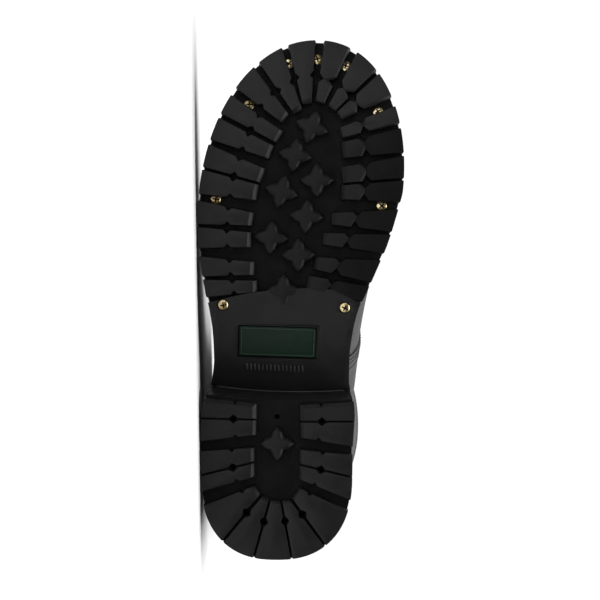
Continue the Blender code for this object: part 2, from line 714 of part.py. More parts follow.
def make_heel_lift():
    """Rubber heel lift: lugs around a sunk channel with one star."""
    rows = heel_rows(0.6, LUG_DEPTH)
    mesh = slab("heel_lift", rows, lambda x: LUG_DEPTH, lambda x: HEEL_LIFT)
    lift = add_object("heel_lift", mesh, "sole_rubber")
    lugs = bmesh.new()
    for row in HEEL_OUTER_LUGS:
        corner_block(lugs, row, -1)
    for row in HEEL_INNER_LUGS:
        corner_block(lugs, row, 1)
    corner_block(lugs, HEEL_BACK_LUG, 1, outer_side=-1)
    add_block(lugs, star_outline(*HEEL_STAR, 0), lambda x: 0.6, lambda x: LUG_DEPTH + ROOT, 0.6)
    combine(lift, "UNION", add_cutter("heel_lugs", finish(lugs, "heel_lugs")))
    slits, holes = bmesh.new(), bmesh.new()
    for edge_x, edge_y, inner_x, inner_y, hole_x, hole_y in HEEL_SLITS:
        start, end = Vector((edge_x, edge_y)), Vector((inner_x, inner_y))
        made = bmesh.ops.create_cube(slits, size=1.0)
        size = Vector(((end - start).length, SLIT, 8.0)) * MM
        bmesh.ops.scale(slits, vec=size, verts=made["verts"])
        angle = math.atan2(end.y - start.y, end.x - start.x)
        bmesh.ops.rotate(slits, matrix=Euler((0, 0, angle)).to_matrix(), verts=made["verts"])
        middle = (start + end) / 2
        bmesh.ops.translate(slits, vec=Vector((*middle, 0)) * MM, verts=made["verts"])
        cylinder_at(holes, NAIL_HOLE / 2, 2 * 8.0, (hole_x, hole_y, 0), sides=8)
    cylinder_at(holes, NAIL_HOLE / 2 * 0.8, 2 * 9.0, (*HEEL_HOLE, 0), sides=8)
    combine(lift, "DIFFERENCE", add_cutter("heel_slits", finish(slits, "heel_slits")))
    combine(lift, "DIFFERENCE", add_cutter("nail_holes", finish(holes, "nail_holes")))
    return lift


def make_heel_stack():
    """Stacked heel block between the rubber lift and the outsole."""
    inset = 0.8
    mesh = slab("heel_stack", heel_rows(inset, HEEL_LIFT), lambda x: HEEL_LIFT + GAP,
                lambda x: rise(x) + LUG_DEPTH - CURVED_GAP, heel_rows(inset, SHANK_FOOT + LUG_DEPTH))
    add_object("heel_stack", mesh, "heel_stack")


# ---------------------------------------------------------------- upper, from its sections

@lru_cache(maxsize=None)
def section(row):
    """All the values of the section at a row of the table, whole or between two rows."""
    rows = range(len(SECTIONS))
    return [curve_value(rows, [line[k] for line in SECTIONS], row) for k in range(9)]


@lru_cache(maxsize=None)
def foot_of(row):
    """Where a section stands: the middle of its foot, and the angle it starts at."""
    low_x, low_up, _, _, outer, inner, _, _, power = section(row)
    half = (inner - outer) / 2
    foot_half, foot_middle = 0.0, HEEL_SWING
    if low_up < 0.01:
        foot_half = (feather(low_x, 1) - feather(low_x, -1)) / 2
        foot_middle = (feather(low_x, 1) + feather(low_x, -1)) / 2
    share = min(foot_half / half, 0.995) if half > 0.01 else 0.995
    return foot_middle, -math.acos(share ** (1 / power))


def section_point(row, angle, side):
    """Point of a section: below its widest place for an angle under 0, on the ridge at pi / 2."""
    low_x, low_up, top_x, top_z, outer, inner, ridge, widest, power = section(row)
    foot_middle, start = foot_of(row)
    half, middle = (inner - outer) / 2, (inner + outer) / 2
    if angle >= 0:
        share = math.sin(angle)
        along = widest + (1 - widest) * share**power
        centre = middle + (ridge - middle) * share**2
    else:
        share = math.sin(-angle) / math.sin(-start)
        along = widest * (1 - share**power)
        centre = middle + (foot_middle - middle) * share**2
    across = centre + side * half * max(math.cos(angle), 0.0) ** power
    place = Vector((low_x, seat(low_x) + low_up)).lerp(Vector((top_x, top_z)), along)
    return Vector((place.x, across, place.y))


@lru_cache(maxsize=None)
def girth(row, side, slit):
    """Angles along one side of a section, with the share of its length reached at each."""
    outer, inner, power = section(row)[4], section(row)[5], section(row)[8]
    start = foot_of(row)[1]
    end = math.pi / 2
    if slit > 0:
        end = math.acos(min(slit / ((inner - outer) / 2), 0.995) ** (1 / power))
    angles = np.linspace(start, end, 41)
    points = np.array([section_point(row, angle, side) for angle in angles])
    lengths = np.concatenate(([0], np.cumsum(np.linalg.norm(np.diff(points, axis=0), axis=1))))
    return lengths / max(lengths[-1], 1e-6), angles


def skin(row, reach, side, slit=0.0):
    """Point on the outside of the upper, in millimetres.

    row runs from the toe to the collar. reach is the share of the way up the section, from the
    sole's edge or the middle of the back (0) to the ridge or the edge of the open throat (1).
    """
    if section(row)[5] - section(row)[4] < 0.02:
        return section_point(row, 0.0, side)
    shares, angles = girth(row, side, slit)
    if reach < 0:
        angle = angles[0] + (angles[1] - angles[0]) * reach / shares[1]
    else:
        angle = np.interp(reach, shares, angles)
    return section_point(row, float(angle), side)


def slit_half(row):
    """Half width of the open throat at a row."""
    opened = min(max((row - THROAT_ROW) / THROAT_LENGTH, 0.0), 1.0)
    return SLIT_HALF * math.sqrt(opened * (2 - opened))


def upper_rows(first=0, last=COLLAR_ROW):
    """Rows of the upper's grid: the table's own, and some halfway ones."""
    rows = sorted(list(range(COLLAR_ROW + 1)) + list(HALFWAY_ROWS))
    return [row for row in rows if first <= row <= last]


def skin_lines(rows, side, further=0.0):
    """One side of the upper as lines of points from its lower edge up, a line for each row.

    A line that stands on the sole starts with a short skirt straight down. further makes the skirt
    longer by that many millimetres, and adds a point as far past the throat's edge.
    """
    lines = []
    for row in rows:
        slit = slit_half(row)
        shares = [(k / UPPER_COLUMNS) ** 1.25 for k in range(UPPER_COLUMNS + 1)]
        line = [skin(row, share, side, slit) for share in shares]
        stands = section(row)[1] < 0.01
        line.insert(0, line[0] - Vector((0, 0, SKIRT + further if stands else 0.0)))
        if further:
            line.append(skin(row, 1.0, side, max(slit - further, 0.0)))
        lines.append(line)
    return lines


def throat_lines(rows, side, columns, near, far):
    """Strip beside the ridge: each line runs from far(row) to near(row), measured across."""
    lines = []
    for row in rows:
        width = far(row) - near(row)
        outs = [far(row) - width * k / columns for k in range(columns + 1)]
        lines.append([skin(row, 1.0, side, out) for out in outs])
    return lines


def open_surface(name, sheets, proud):
    """Surface joined from sheets of lines, each with its side of the boot, moved out by proud."""
    bm = bmesh.new()
    for side, lines in sheets:
        verts = [[bm.verts.new(point * MM) for point in line] for line in lines]
        for first, second in zip(verts, verts[1:]):
            for k in range(len(first) - 1):
                corners = (first[k], second[k], second[k + 1], first[k + 1])
                bm.faces.new(corners if side > 0 else reversed(corners))
    bmesh.ops.remove_doubles(bm, verts=bm.verts, dist=0.02 * MM)
    bm.normal_update()
    for vert, move in [(vert, vert.normal * proud * MM) for vert in bm.verts]:
        vert.co += move
    mesh = bpy.data.meshes.new(name)
    bm.to_mesh(mesh)
    bm.free()
    return mesh


def whole_skin(name, rows, proud, further=0.0):
    """Both sides of the upper between two rows."""
    sheets = [(side, skin_lines(rows, side, further)) for side in (-1, 1)]
    return open_surface(name, sheets, proud)


def thicken(piece, wall):
    """Give an open surface its thickness, inwards."""
    modifier = piece.modifiers.new("wall", "SOLIDIFY")
    modifier.thickness = wall * MM
    modifier.offset = -1
    modifier.use_even_offset = True
    modifier.thickness_clamp = 0.6
    return modifier


def under_cut(name, inset, height):
    """Block under the upper, up to a height above the seat."""
    rows = rungs(stations(0, LENGTH, inset), inset)
    return add_cutter(name, slab(name, rows, lambda x: seat(x) - 12, lambda x: seat(x) + height))


def make_upper():
    """Hollow leather upper, open at the collar, the throat and underneath."""
    mesh = whole_skin("upper", upper_rows(), 0.0)
    upper = add_object("upper", mesh, "black_leather")
    thicken(upper, WALL)
    above = 2.0
    mesh = whole_skin("above_vamp", upper_rows(0, 14), above, 2.0)
    above_vamp = add_cutter("above_vamp", mesh)
    thicken(above_vamp, above + VAMP_DROP)
    outline = flat_outline("vamp_outline", VAMP, -80, 100, "Y")
    combine(above_vamp, "INTERSECT", add_cutter("vamp_outline", outline))
    combine(upper, "DIFFERENCE", above_vamp)
    combine(upper, "DIFFERENCE", under_cut("under_upper", -8.0, 0.0))
    combine(upper, "DIFFERENCE", add_cutter("eyelet_holes", eyelet_holes()))


def make_counter():
    """Outside heel counter, standing on the welt."""
    mesh = whole_skin("heel_counter", upper_rows(13, 24), FACING_GAP + OVERLAY)
    counter = add_object("heel_counter", mesh, "black_leather")
    thicken(counter, OVERLAY)
    outline = flat_outline("counter_outline", COUNTER, -80, 100, "Y")
    combine(counter, "INTERSECT", add_cutter("counter_outline", outline))
    combine(counter, "DIFFERENCE", under_cut("under_counter", -9.0, WELT + CURVED_GAP))


def make_backstay():
    """Strip up the back seam, from the counter to the collar."""
    mesh = whole_skin("backstay", upper_rows(21), 2 * GAP + OVERLAY)
    stay = add_object("backstay", mesh, "black_leather")
    thicken(stay, OVERLAY)
    low, high = COUNTER[-1][1] + 0.6, SHAFT_TOP - 6
    size = (60, BACKSTAY_WIDTH, high - low)
    strip = box("backstay_strip", size, (10, HEEL_SWING, (low + high) / 2))
    combine(stay, "INTERSECT", add_cutter("backstay_strip", strip))


def facing_near(row):
    return slit_half(row) + 0.7


def facing_far(row):
    """Outer edge of a facing, rounded at its foot."""
    grown = min((row - FACING_ROW) / 1.2, 1.0)
    return facing_near(row) + 2.0 + (FACING_WIDTH - 2.0) * math.sqrt(grown * (2 - grown))


def make_facings():
    """Eyelet facings, one on each side of the throat."""
    rows = [FACING_ROW, FACING_ROW + 0.15] + [k for k in range(9, 29) if k not in (15, 17, 19)]
    for name, side in (("facing_outer", -1), ("facing_inner", 1)):
        lines = throat_lines(rows, side, 2, facing_near, facing_far)
        mesh = open_surface(name, [(side, lines)], FACING_GAP + OVERLAY)
        facing = add_object(name, mesh, "black_leather")
        thicken(facing, OVERLAY)
        combine(facing, "DIFFERENCE", bpy.data.objects["eyelet_holes"])


def tongue_half(row):
    """Half width of the tongue, narrower at its foot."""
    return min(TONGUE_HALF, 10 + 14 * (row - TONGUE_ROW))


def make_tongue():
    """Tongue under the throat, standing a little above the collar."""
    rows = [TONGUE_ROW] + [k for k in range(8, len(SECTIONS)) if k not in (15, 17, 19)]
    sheets = [(side, throat_lines(rows, side, 3, lambda row: 0.0, tongue_half))
              for side in (-1, 1)]
    depth = WALL + TONGUE_DROP
    tongue = add_object("tongue", open_surface("tongue", sheets, -depth), "black_leather")
    thicken(tongue, TONGUE_WALL)


# ---------------------------------------------------------------- welt, midsole, insole

def above_seat(point):
    return point.z - seat(point.x)


def crossing(low, high, height):
    """Point between two others at a height above the seat."""
    return low.lerp(high, (height - above_seat(low)) / (above_seat(high) - above_seat(low)))


def level_side(side, height):
    """Line around one side of the upper's grid at a height above the seat, from the toe."""
    lines = skin_lines(upper_rows(), side)
    points = [crossing(lines[0][-1], lines[1][-1], height)]
    for line, after in zip(lines[1:], lines[2:]):
        k = next(k for k, point in enumerate(line) if above_seat(point) > height)
        points.append(crossing(line[k - 1], line[k], height))
        if above_seat(after[0]) > height:
            return points + [crossing(line[0], after[0], height)]


def level_loop(height, outwards):
    """Closed loop around the upper at a height above the seat, moved outwards."""
    loop = level_side(1, height) + level_side(-1, height)[-2:0:-1]
    return grow([Vector((point.x, point.y)) for point in loop], outwards)


def shares_along(points):
    """Share of a line's length reached at each of its points."""
    steps = [(b - a).length for a, b in zip(points, points[1:])]
    return np.concatenate(([0], np.cumsum(steps))) / sum(steps)


def at_shares(points, shares):
    """Points of a line at given shares of its length."""
    own = shares_along(points)
    return [Vector([float(np.interp(share, own, [p[k] for p in points])) for k in (0, 1)])
            for share in shares]


def split_long(points, longest):
    """Line with its long steps divided evenly."""
    line = [points[0]]
    for start, end in zip(points, points[1:]):
        parts = math.ceil((end - start).length / longest)
        line += [start.lerp(end, k / parts) for k in range(1, parts + 1)]
    return line


def halves(loop):
    """Split a loop at its toe and heel points: outer side, inner side, both from the toe."""
    toe = max(range(len(loop)), key=lambda k: loop[k].x)
    turned_loop = loop[toe:] + loop[:toe]
    heel = min(range(len(loop)), key=lambda k: turned_loop[k].x)
    first, second = turned_loop[:heel + 1], turned_loop[heel:] + turned_loop[:1]
    second.reverse()
    middle = len(first) // 2
    return (first, second) if first[middle].y < second[len(second) // 2].y else (second, first)


def sole_loop(inset, steps=20):
    """The sole's own outline as a closed loop."""
    xs = stations(0, LENGTH, inset, round_steps=steps, straight=6.0)
    inner = [Vector((x, edge(x, 1, inset))) for x in xs]
    outer = [Vector((x, edge(x, -1, inset))) for x in reversed(xs)]
    return inner + outer[1:-1]


def welt_gap(x):
    """Distance from the upper's grid to the welt: more where both are round, less at the vamp."""
    if VAMP[1][0] < x < BALL_X + 55:
        return CURVED_GAP - VAMP_DROP
    return WELT_HEEL_GAP if x < HEEL_X else 3 * GAP


def make_welt():
    """Welt: a leather ring on the midsole, around the foot of the upper."""
    bm = bmesh.new()
    outside, inside = [], []
    for near, far in zip(halves(level_loop(WELT, welt_gap)), halves(sole_loop(0.9))):
        near = split_long(near, 12.0)
        inside.append(near)
        outside.append(at_shares(far, shares_along(near)))
    rings = []
    for outer_side, inner_side in (outside, inside):
        loop = outer_side + inner_side[-2:0:-1]
        for lift in (GAP, WELT):
            rings.append([bm.verts.new(Vector((p.x, p.y, seat(p.x) + lift)) * MM) for p in loop])
    out_low, out_high, in_low, in_high = rings
    for first, second in ((out_low, out_high), (out_high, in_high), (in_high, in_low),
                          (in_low, out_low)):
        for k in range(len(first)):
            m = (k + 1) % len(first)
            bm.faces.new((first[k], first[m], second[m], second[k]))
    add_object("welt", finish(bm, "welt"), "edge_leather")


def make_midsole():
    """Full-length midsole between outsole and welt."""
    rows = rungs(stations(0, LENGTH, 0.7), 0.7)
    mesh = slab("midsole", rows, lambda x: rise(x) + SLAB + GAP,
                lambda x: rise(x) + SLAB + GAP + MIDSOLE)
    add_object("midsole", mesh, "edge_leather")


def make_insole():
    """Insole inside the upper."""
    loop = halves(level_loop(INSOLE / 3, -(WALL + INSOLE_INSET)))
    outer_side, inner_side = (np.array([tuple(point) for point in line[::-1]]) for line in loop)
    ends = (outer_side[0][0] + 0.3, outer_side[-1][0] - 0.3)
    rows = []
    for x in stations(*ends, inset=WALL):
        low, high = (float(np.interp(x, side[:, 0], side[:, 1])) for side in (outer_side, inner_side))
        rows.append([(x, low), (x, (low + high) / 2), (x, high)])
    mesh = slab("insole", rows, lambda x: seat(x) + GAP, lambda x: seat(x) + GAP + INSOLE)
    add_object("insole", mesh, "insole_leather")


# ---------------------------------------------------------------- eyelets and lace

def eyelet_place(row, side):
    """Centre of an eyelet on the skin, and the direction out of it."""
    reach_in = slit_half(row) + EYELET_SIDE
    centre = skin(row, 1.0, side, reach_in)
    along = skin(row + 0.2, 1.0, side, reach_in) - skin(row - 0.2, 1.0, side, reach_in)
    across = skin(row, 1.0, side, reach_in + 2) - skin(row, 1.0, side, reach_in - 2)
    out = along.cross(across).normalized()
    if out.x + out.z < 0:
        out = -out
    return centre, out


def eyelet_holes():
    """Holes through the facings and the upper."""
    holes = bmesh.new()
    for row in EYELET_ROWS:
        for side in (-1, 1):
            centre, out = eyelet_place(row, side)
            cylinder_at(holes, EYELET_BARREL + 2 * GAP, 16.0, centre, out, 6)
    return finish(holes, "eyelet_holes")


def make_eyelets():
    """Turned brass eyelets, barrel and flange in one."""
    for side, word in ((-1, "outer"), (1, "inner")):
        for number, row in enumerate(EYELET_ROWS, start=1):
            centre, out = eyelet_place(row, side)
            bm = bmesh.new()
            face = FACING_GAP + OVERLAY + GAP
            profile = ((EYELET_HOLE, -WALL + 0.2), (EYELET_BARREL, -WALL + 0.2),
                       (EYELET_BARREL, face), (EYELET_FLANGE, face), (EYELET_HOLE, face + EYELET_RIM),
                       (EYELET_HOLE, -WALL + 0.2))
            turned(bm, profile, 6)
            turn = out.to_track_quat("Z", "Y").to_matrix()
            bmesh.ops.rotate(bm, matrix=turn, verts=bm.verts)
            bmesh.ops.translate(bm, vec=centre * MM, verts=bm.verts)
            name = f"eyelet_{word}_{number}"
            add_object(name, finish(bm, name), "brass")


def lace_point(row, side):
    """Middle of the lace just above an eyelet."""
    centre, out = eyelet_place(row, side)
    return centre + out * (FACING_GAP + OVERLAY + GAP + EYELET_RIM + CURVED_GAP + LACE_RADIUS)


def lace_edge(row, side):
    """Middle of the lace where it passes over the edge of a facing."""
    _, out = eyelet_place(row, side)
    return skin(row, 1.0, side, facing_near(row)) + out * (FACING_GAP + OVERLAY + 2 * CURVED_GAP + LACE_RADIUS)


def lace_crossing(start_row, end_row, side):
    """Lace from an eyelet over both facings' edges to the one across."""
    step = (end_row - start_row) * 0.2
    return [lace_point(start_row, side), lace_edge(start_row + step, side),
            lace_edge(end_row - step, -side)]


def lace_route(side):
    """Zigzag from eyelet to eyelet, up to the top one."""
    route = []
    for row, after in zip(EYELET_ROWS, EYELET_ROWS[1:]):
        route += lace_crossing(row, after, side)
        side = -side
    return route + [lace_point(EYELET_ROWS[-1], side)]


def lace_tube(name, route):
    """Round cord along a route, as a mesh."""
    curve = bpy.data.curves.new(name, "CURVE")
    curve.dimensions = "3D"
    curve.bevel_depth = LACE_RADIUS * MM
    curve.bevel_resolution = 0
    curve.use_fill_caps = True
    spline = curve.splines.new("POLY")
    spline.points.add(len(route) - 1)
    for place, point in zip(spline.points, route):
        place.co = (*(point * MM), 1)
    guide = bpy.data.objects.new(name, curve)
    bpy.context.scene.collection.objects.link(guide)
    bpy.context.view_layer.update()
    mesh = bpy.data.meshes.new_from_object(guide.evaluated_get(bpy.context.evaluated_depsgraph_get()))
    bpy.data.objects.remove(guide, do_unlink=True)
    bm = bmesh.new()
    bm.from_mesh(mesh)
    return finish(bm, name)


def make_lace():
    """Laced crossings as one joined solid, with its ends at the top eyelets."""
    bar = lace_crossing(EYELET_ROWS[0], EYELET_ROWS[0], 1)
    lace = add_object("lace", lace_tube("lace", bar + lace_route(-1)), "lace")
    combine(lace, "UNION", add_cutter("lace_return", lace_tube("lace_return", lace_route(1))))


# ---------------------------------------------------------------- the boot

make_outsole()
make_plate()
make_screws()
make_heel_lift()
make_heel_stack()
make_midsole()
make_upper()
make_welt()
make_insole()
make_counter()
make_backstay()
make_facings()
make_tongue()
make_eyelets()
make_lace()
for piece in PARTS.objects:
    round_off(piece)
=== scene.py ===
# %% [markdown]
# # A logger boot, lying on its outer side
# A logger boot is a tall leather work boot on a thick rubber sole with deep lugs and a high heel.
# The CAD model is loaded first and stays as the fixed frame: it says where each part is and how
# large it may be. Every piece made below is drawn on the same boot, with the detail that solids
# with few faces leave out: rounded lugs, screws with a cross, grain, seams, stitches and laces.

# %% Load the frame
import math

import bmesh
import bpy
import numpy as np
from mathutils import Euler, Matrix, Vector
from mathutils.bvhtree import BVHTree


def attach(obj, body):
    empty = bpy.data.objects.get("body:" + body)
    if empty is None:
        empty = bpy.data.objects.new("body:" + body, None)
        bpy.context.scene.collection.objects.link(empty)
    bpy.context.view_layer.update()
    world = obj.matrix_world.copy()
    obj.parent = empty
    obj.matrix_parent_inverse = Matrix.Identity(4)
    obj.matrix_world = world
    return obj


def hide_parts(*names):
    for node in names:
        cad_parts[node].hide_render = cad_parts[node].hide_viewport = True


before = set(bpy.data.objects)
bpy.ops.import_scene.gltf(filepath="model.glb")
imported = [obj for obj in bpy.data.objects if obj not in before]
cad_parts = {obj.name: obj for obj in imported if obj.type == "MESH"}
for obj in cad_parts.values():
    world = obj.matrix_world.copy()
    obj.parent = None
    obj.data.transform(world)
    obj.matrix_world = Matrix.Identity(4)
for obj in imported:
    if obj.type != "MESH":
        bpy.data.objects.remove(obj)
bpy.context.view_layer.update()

# %% [markdown]
# ## One boot, drawn standing
# A boot is easiest to describe as it stands: x runs forward from the back of the heel, y towards
# the inner side of the foot, z up from the floor, all in millimetres. One matrix then lays every
# point down on the floor, in metres, exactly as the CAD model lies. Finished meshes hold their
# place in their points, so no object is moved, turned or scaled.

# %% Lay the standing boot down
MM = 0.001
SIDES = (-1, 1)                   # the outer and the inner side, as signs of y
LIE_DEGREES = (89.71, -0.86, 180.0)
LIE_SHIFT = (151.33, -145.26, 45.07)
TOE_FROM, TOE_END, TOE_REACH = 225.0, 304.0, 2.0
LIE = (Matrix.Translation(Vector(LIE_SHIFT) * MM)
       @ Euler([math.radians(angle) for angle in LIE_DEGREES]).to_matrix().to_4x4()
       @ Matrix.Scale(MM, 4))


def lay(points):
    """Points of the standing boot in millimetres, laid down and in metres.

    The toe is drawn out by a little on the way, which makes its spring look right from below."""
    matrix, points = np.array(LIE), np.array(points, float)
    share = np.clip((points[:, 0] - TOE_FROM) / (TOE_END - TOE_FROM), 0, 1)
    points[:, 0] += TOE_REACH * share**1.3
    return points @ matrix[:3, :3].T + matrix[:3, 3]


def new_object(name, data):
    """Object with its data, linked into the scene."""
    made = bpy.data.objects.new(name, data)
    bpy.context.scene.collection.objects.link(made)
    return made


def new_mesh(name, points, faces=(), edges=()):
    mesh = bpy.data.meshes.new(name)
    mesh.from_pydata(np.asarray(points).tolist(), edges, [list(map(int, f)) for f in faces])
    return mesh


def boot_piece(name, points, faces, material, stands_for=(), slot=None, angle=38):
    """Mesh object from standing points in millimetres, riding on the boot's one body."""
    mesh = new_mesh(name, lay(points), faces)
    mesh.materials.append(material)
    return add_to_boot(name, mesh, stands_for, angle)


def add_to_boot(name, mesh, stands_for=(), angle=38):
    """Shade a mesh, link it and hide the CAD nodes it stands for."""
    mesh.validate()
    mesh.shade_smooth()
    mesh.set_sharp_from_angle(angle=math.radians(angle))
    piece = new_object(name, mesh)
    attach(piece, "root")
    if stands_for:
        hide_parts(*stands_for)
    print(f"{name}: {len(mesh.polygons)} faces")
    return piece


# %% [markdown]
# ## Camera, floor and light
# The camera looks straight at the tread from a metre and a half away, with the toe up and the
# inner side to the right. The boot lies on its side, so the camera is rolled a quarter turn and
# stays above the floor. A pale floor and a white surround make the plain background; a large soft
# light above the boot draws bright lines along the upper edges of the lugs.

# %% Camera
AIM = (152.3, 12.9, 0.0)          # middle of the view, on the tread
DISTANCE = 1500.0
LENS, SENSOR = 153.7, 36.0

camera_data = bpy.data.cameras.new("camera")
camera_data.lens, camera_data.sensor_width = LENS, SENSOR
camera_data.clip_start, camera_data.clip_end = 0.05, 60.0
camera = new_object("camera", camera_data)
axes = LIE.to_3x3() * (1 / MM)
right, up, back = (axes @ Vector(v) for v in ((0, 1, 0), (1, 0, 0), (0, 0, -1)))
turn = Matrix((right, up, back)).transposed()
place = LIE @ (Vector(AIM) + Vector((0, 0, -DISTANCE)))
camera.matrix_world = Matrix.Translation(place) @ turn.to_4x4()
bpy.context.scene.camera = camera
print("camera height above the floor:", round(place.z / MM), "mm")


# %% Helpers for nodes and finishes
def add_node(tree, kind, inputs=None, **settings):
    """Add a node. An input given as a socket is linked; any other value is set on it."""
    made = tree.nodes.new(kind)
    for key, value in settings.items():
        setattr(made, key, value)
    for key, value in (inputs or {}).items():
        if isinstance(value, bpy.types.NodeSocket):
            tree.links.new(value, made.inputs[key])
        else:
            made.inputs[key].default_value = value
    return made


class Finish:
    """A material whose Principled shader is fed through noise on Object coordinates."""

    def __init__(self, name, coat=0.0, specular=0.5, metallic=0.0, sheen=0.0):
        self.material = bpy.data.materials.new(name)
        self.material.use_nodes = True
        self.tree = self.material.node_tree
        self.shader = self.tree.nodes["Principled BSDF"].inputs
        for label, value in (("Coat Weight", coat), ("Coat Roughness", 0.25),
                             ("Specular IOR Level", specular), ("Metallic", metallic),
                             ("Sheen Weight", sheen)):
            self.shader[label].default_value = value
        self.coords = self.node("ShaderNodeTexCoord").outputs["Object"]

    def node(self, kind, inputs=None, **settings):
        return add_node(self.tree, kind, inputs, **settings)

    def noise(self, size_mm, detail=3.0):
        """Noise whose features are about size_mm across."""
        return self.node("ShaderNodeTexNoise", {
            "Vector": self.coords, "Scale": 1 / (size_mm * MM), "Detail": detail,
            "Roughness": 0.55}).outputs["Fac"]

    def ramp(self, value, *stops):
        """Colour ramp through (place, grey or colour) stops."""
        made = self.node("ShaderNodeValToRGB", {"Fac": value})
        elements = made.color_ramp.elements
        while len(elements) < len(stops):
            elements.new(0.5)
        for element, (position, colour) in zip(elements, stops):
            element.position = position
            element.color = (*(colour if isinstance(colour, tuple) else (colour,) * 3), 1.0)
        return made.outputs["Color"]

    def colour(self, value, *stops):
        self.tree.links.new(self.ramp(value, *stops), self.shader["Base Color"])

    def rough(self, value, *stops):
        self.tree.links.new(self.ramp(value, *stops), self.shader["Roughness"])

    def bumps(self, *layers):
        """Stack bump maps, (height socket, distance in mm), and return the finished material."""
        normal = {}
        for height, distance in layers:
            made = self.node("ShaderNodeBump", {
                "Height": height, "Distance": distance * MM, "Strength": 1.0, **normal})
            normal = {"Normal": made.outputs["Normal"]}
        self.tree.links.new(normal["Normal"], self.shader["Normal"])
        return self.material


# %% Floor, surround and lights
FLOOR_REACH, FLOOR_SPECKLE = 30.0, 90.0
FRONT_LIGHT, FRONT_AIM = Vector((-0.9, -1.5, 0.5)), Vector((0.0, -0.15, 0.05))
BACKDROP, LIT_BEHIND, LIT_BEYOND = 1.05, 0.08, 0.42


def make_floor():
    """Pale floor, a little speckled, that runs out to the horizon."""
    finish = Finish("pale_floor", specular=0.1)
    speckle = finish.node("ShaderNodeTexNoise", {"Vector": finish.coords, "Scale": FLOOR_SPECKLE})
    finish.colour(speckle.outputs["Fac"], (0.3, 0.75), (0.7, 0.78))
    finish.shader["Roughness"].default_value = 0.9
    corners = np.array(((-1, -1, 0), (1, -1, 0), (1, 1, 0), (-1, 1, 0))) * FLOOR_REACH
    mesh = new_mesh("floor", corners, [(0, 1, 2, 3)])
    mesh.materials.append(finish.material)
    new_object("floor", mesh)


def add_light(name, kind, turn, **settings):
    """Light with its own settings, turned by three angles."""
    data = bpy.data.lights.new(name, kind)
    for key, value in settings.items():
        setattr(data, key, value)
    light = new_object(name, data)
    light.rotation_euler = turn
    return light


def make_surround():
    """White backdrop; the light it gives is dark behind the camera, so black rubber stays black."""
    world = bpy.data.worlds.new("studio")
    bpy.context.scene.world = world
    world.use_nodes = True
    tree = world.node_tree
    way = add_node(tree, "ShaderNodeTexCoord").outputs["Generated"]
    parts = add_node(tree, "ShaderNodeSeparateXYZ", {"Vector": way})
    given = add_node(tree, "ShaderNodeMapRange", {
        "Value": parts.outputs["Y"], "From Min": -0.3, "From Max": 0.35, "To Min": LIT_BEHIND,
        "To Max": LIT_BEYOND})
    seen = add_node(tree, "ShaderNodeLightPath").outputs["Is Camera Ray"]
    shown = add_node(tree, "ShaderNodeMix", {
        "Factor": seen, "A": given.outputs["Result"], "B": BACKDROP}, data_type="FLOAT")
    background = tree.nodes["Background"]
    background.inputs["Color"].default_value = (1, 1, 1, 1)
    tree.links.new(shown.outputs["Result"], background.inputs["Strength"])


make_floor()
make_surround()
add_light("overhead", "SUN", (math.radians(-2.0), math.radians(10.0), 0.0), energy=4.4,
          angle=math.radians(80.0))
front = add_light("front", "AREA", (FRONT_AIM - FRONT_LIGHT).to_track_quat("-Z", "Y").to_euler(),
                  energy=3, shape="RECTANGLE", size=0.9, size_y=0.6)
front.location = FRONT_LIGHT
bpy.context.scene.view_settings.view_transform = "Standard"
print("studio ready")

# %% [markdown]
# ## Finishes
# Rubber, leather, waxed edges, brass, enamel, thread and lace each have their own grain and
# polish. They could be painted pictures, but then every piece would need to be unwrapped. Here a
# finish is a Principled shader whose colour, roughness and bump come from noise on Object
# coordinates, so its grain has a real size and stays on the piece from every side.

# %% Finishes: rubber
NICKS_PER_METRE = 260.0


def make_rubber(name, dark, light, rough, specular):
    """Moulded rubber: a faint cloudiness, fine matt texture and stray nicks."""
    finish = Finish(name, specular=specular)
    cloud, smear = finish.noise(14.0, 4.0), finish.noise(6.0)
    finish.colour(cloud, (0.35, dark), (0.65, light))
    finish.rough(smear, (0.3, rough[0]), (0.7, rough[1]))
    spots = finish.node("ShaderNodeTexVoronoi", {"Vector": finish.coords, "Scale": NICKS_PER_METRE})
    nicks = finish.ramp(spots.outputs["Distance"], (0.0, 0.0), (0.07, 1.0))
    return finish.bumps((cloud, 0.25), (nicks, 0.10), (finish.noise(0.35, 2.0), 0.05))


(TREAD_RUBBER, GROOVE_SHADE_RUBBER, SHADED_INNER_RUBBER, HEEL_RUBBER, LIT_FRONT_RUBBER, PALE_HIGHLIGHT_RUBBER, SHADED_EDGE_RUBBER) = (
    make_rubber(*row) for row in (
        # name, dark, light, roughness from and to, specular
        ("tread_rubber", (0.0062, 0.0061, 0.0063), (0.0092, 0.0090, 0.0092), (0.36, 0.50), 0.24),
        # groove rubber is darker as painted shade: the outsole's floor between the lugs, the heel's
        # floor and the nail collars
        ("groove_shade_rubber", (0.0028, 0.0022, 0.0023), (0.0044, 0.0037, 0.0039), (0.50, 0.66), 0.10),
        # inner rubber is darker as painted shade, for the inner side's lugs and the stars
        ("shaded_inner_rubber", (0.0046, 0.0045, 0.0046), (0.0066, 0.0065, 0.0066), (0.42, 0.55), 0.17),
        ("heel_rubber", (0.0052, 0.0050, 0.0051), (0.0078, 0.0076, 0.0078), (0.38, 0.52), 0.21),
        # front rubber is lighter as painted light, for the heel's front and the inner toe lugs
        ("lit_front_rubber", (0.0088, 0.0085, 0.0086), (0.0122, 0.0119, 0.0120), (0.40, 0.52), 0.20),
        # pale rubber, a painted highlight on the bead along the heel's front; the shank's ribs use
        # it too
        ("pale_highlight_rubber", (0.026, 0.0255, 0.026), (0.042, 0.0412, 0.042), (0.34, 0.48), 0.30),
        # edge rubber is darker and duller as painted shade, for the inner lugs beyond their notches
        ("shaded_edge_rubber", (0.0036, 0.0031, 0.0032), (0.0054, 0.0048, 0.0049), (0.46, 0.60), 0.09)))


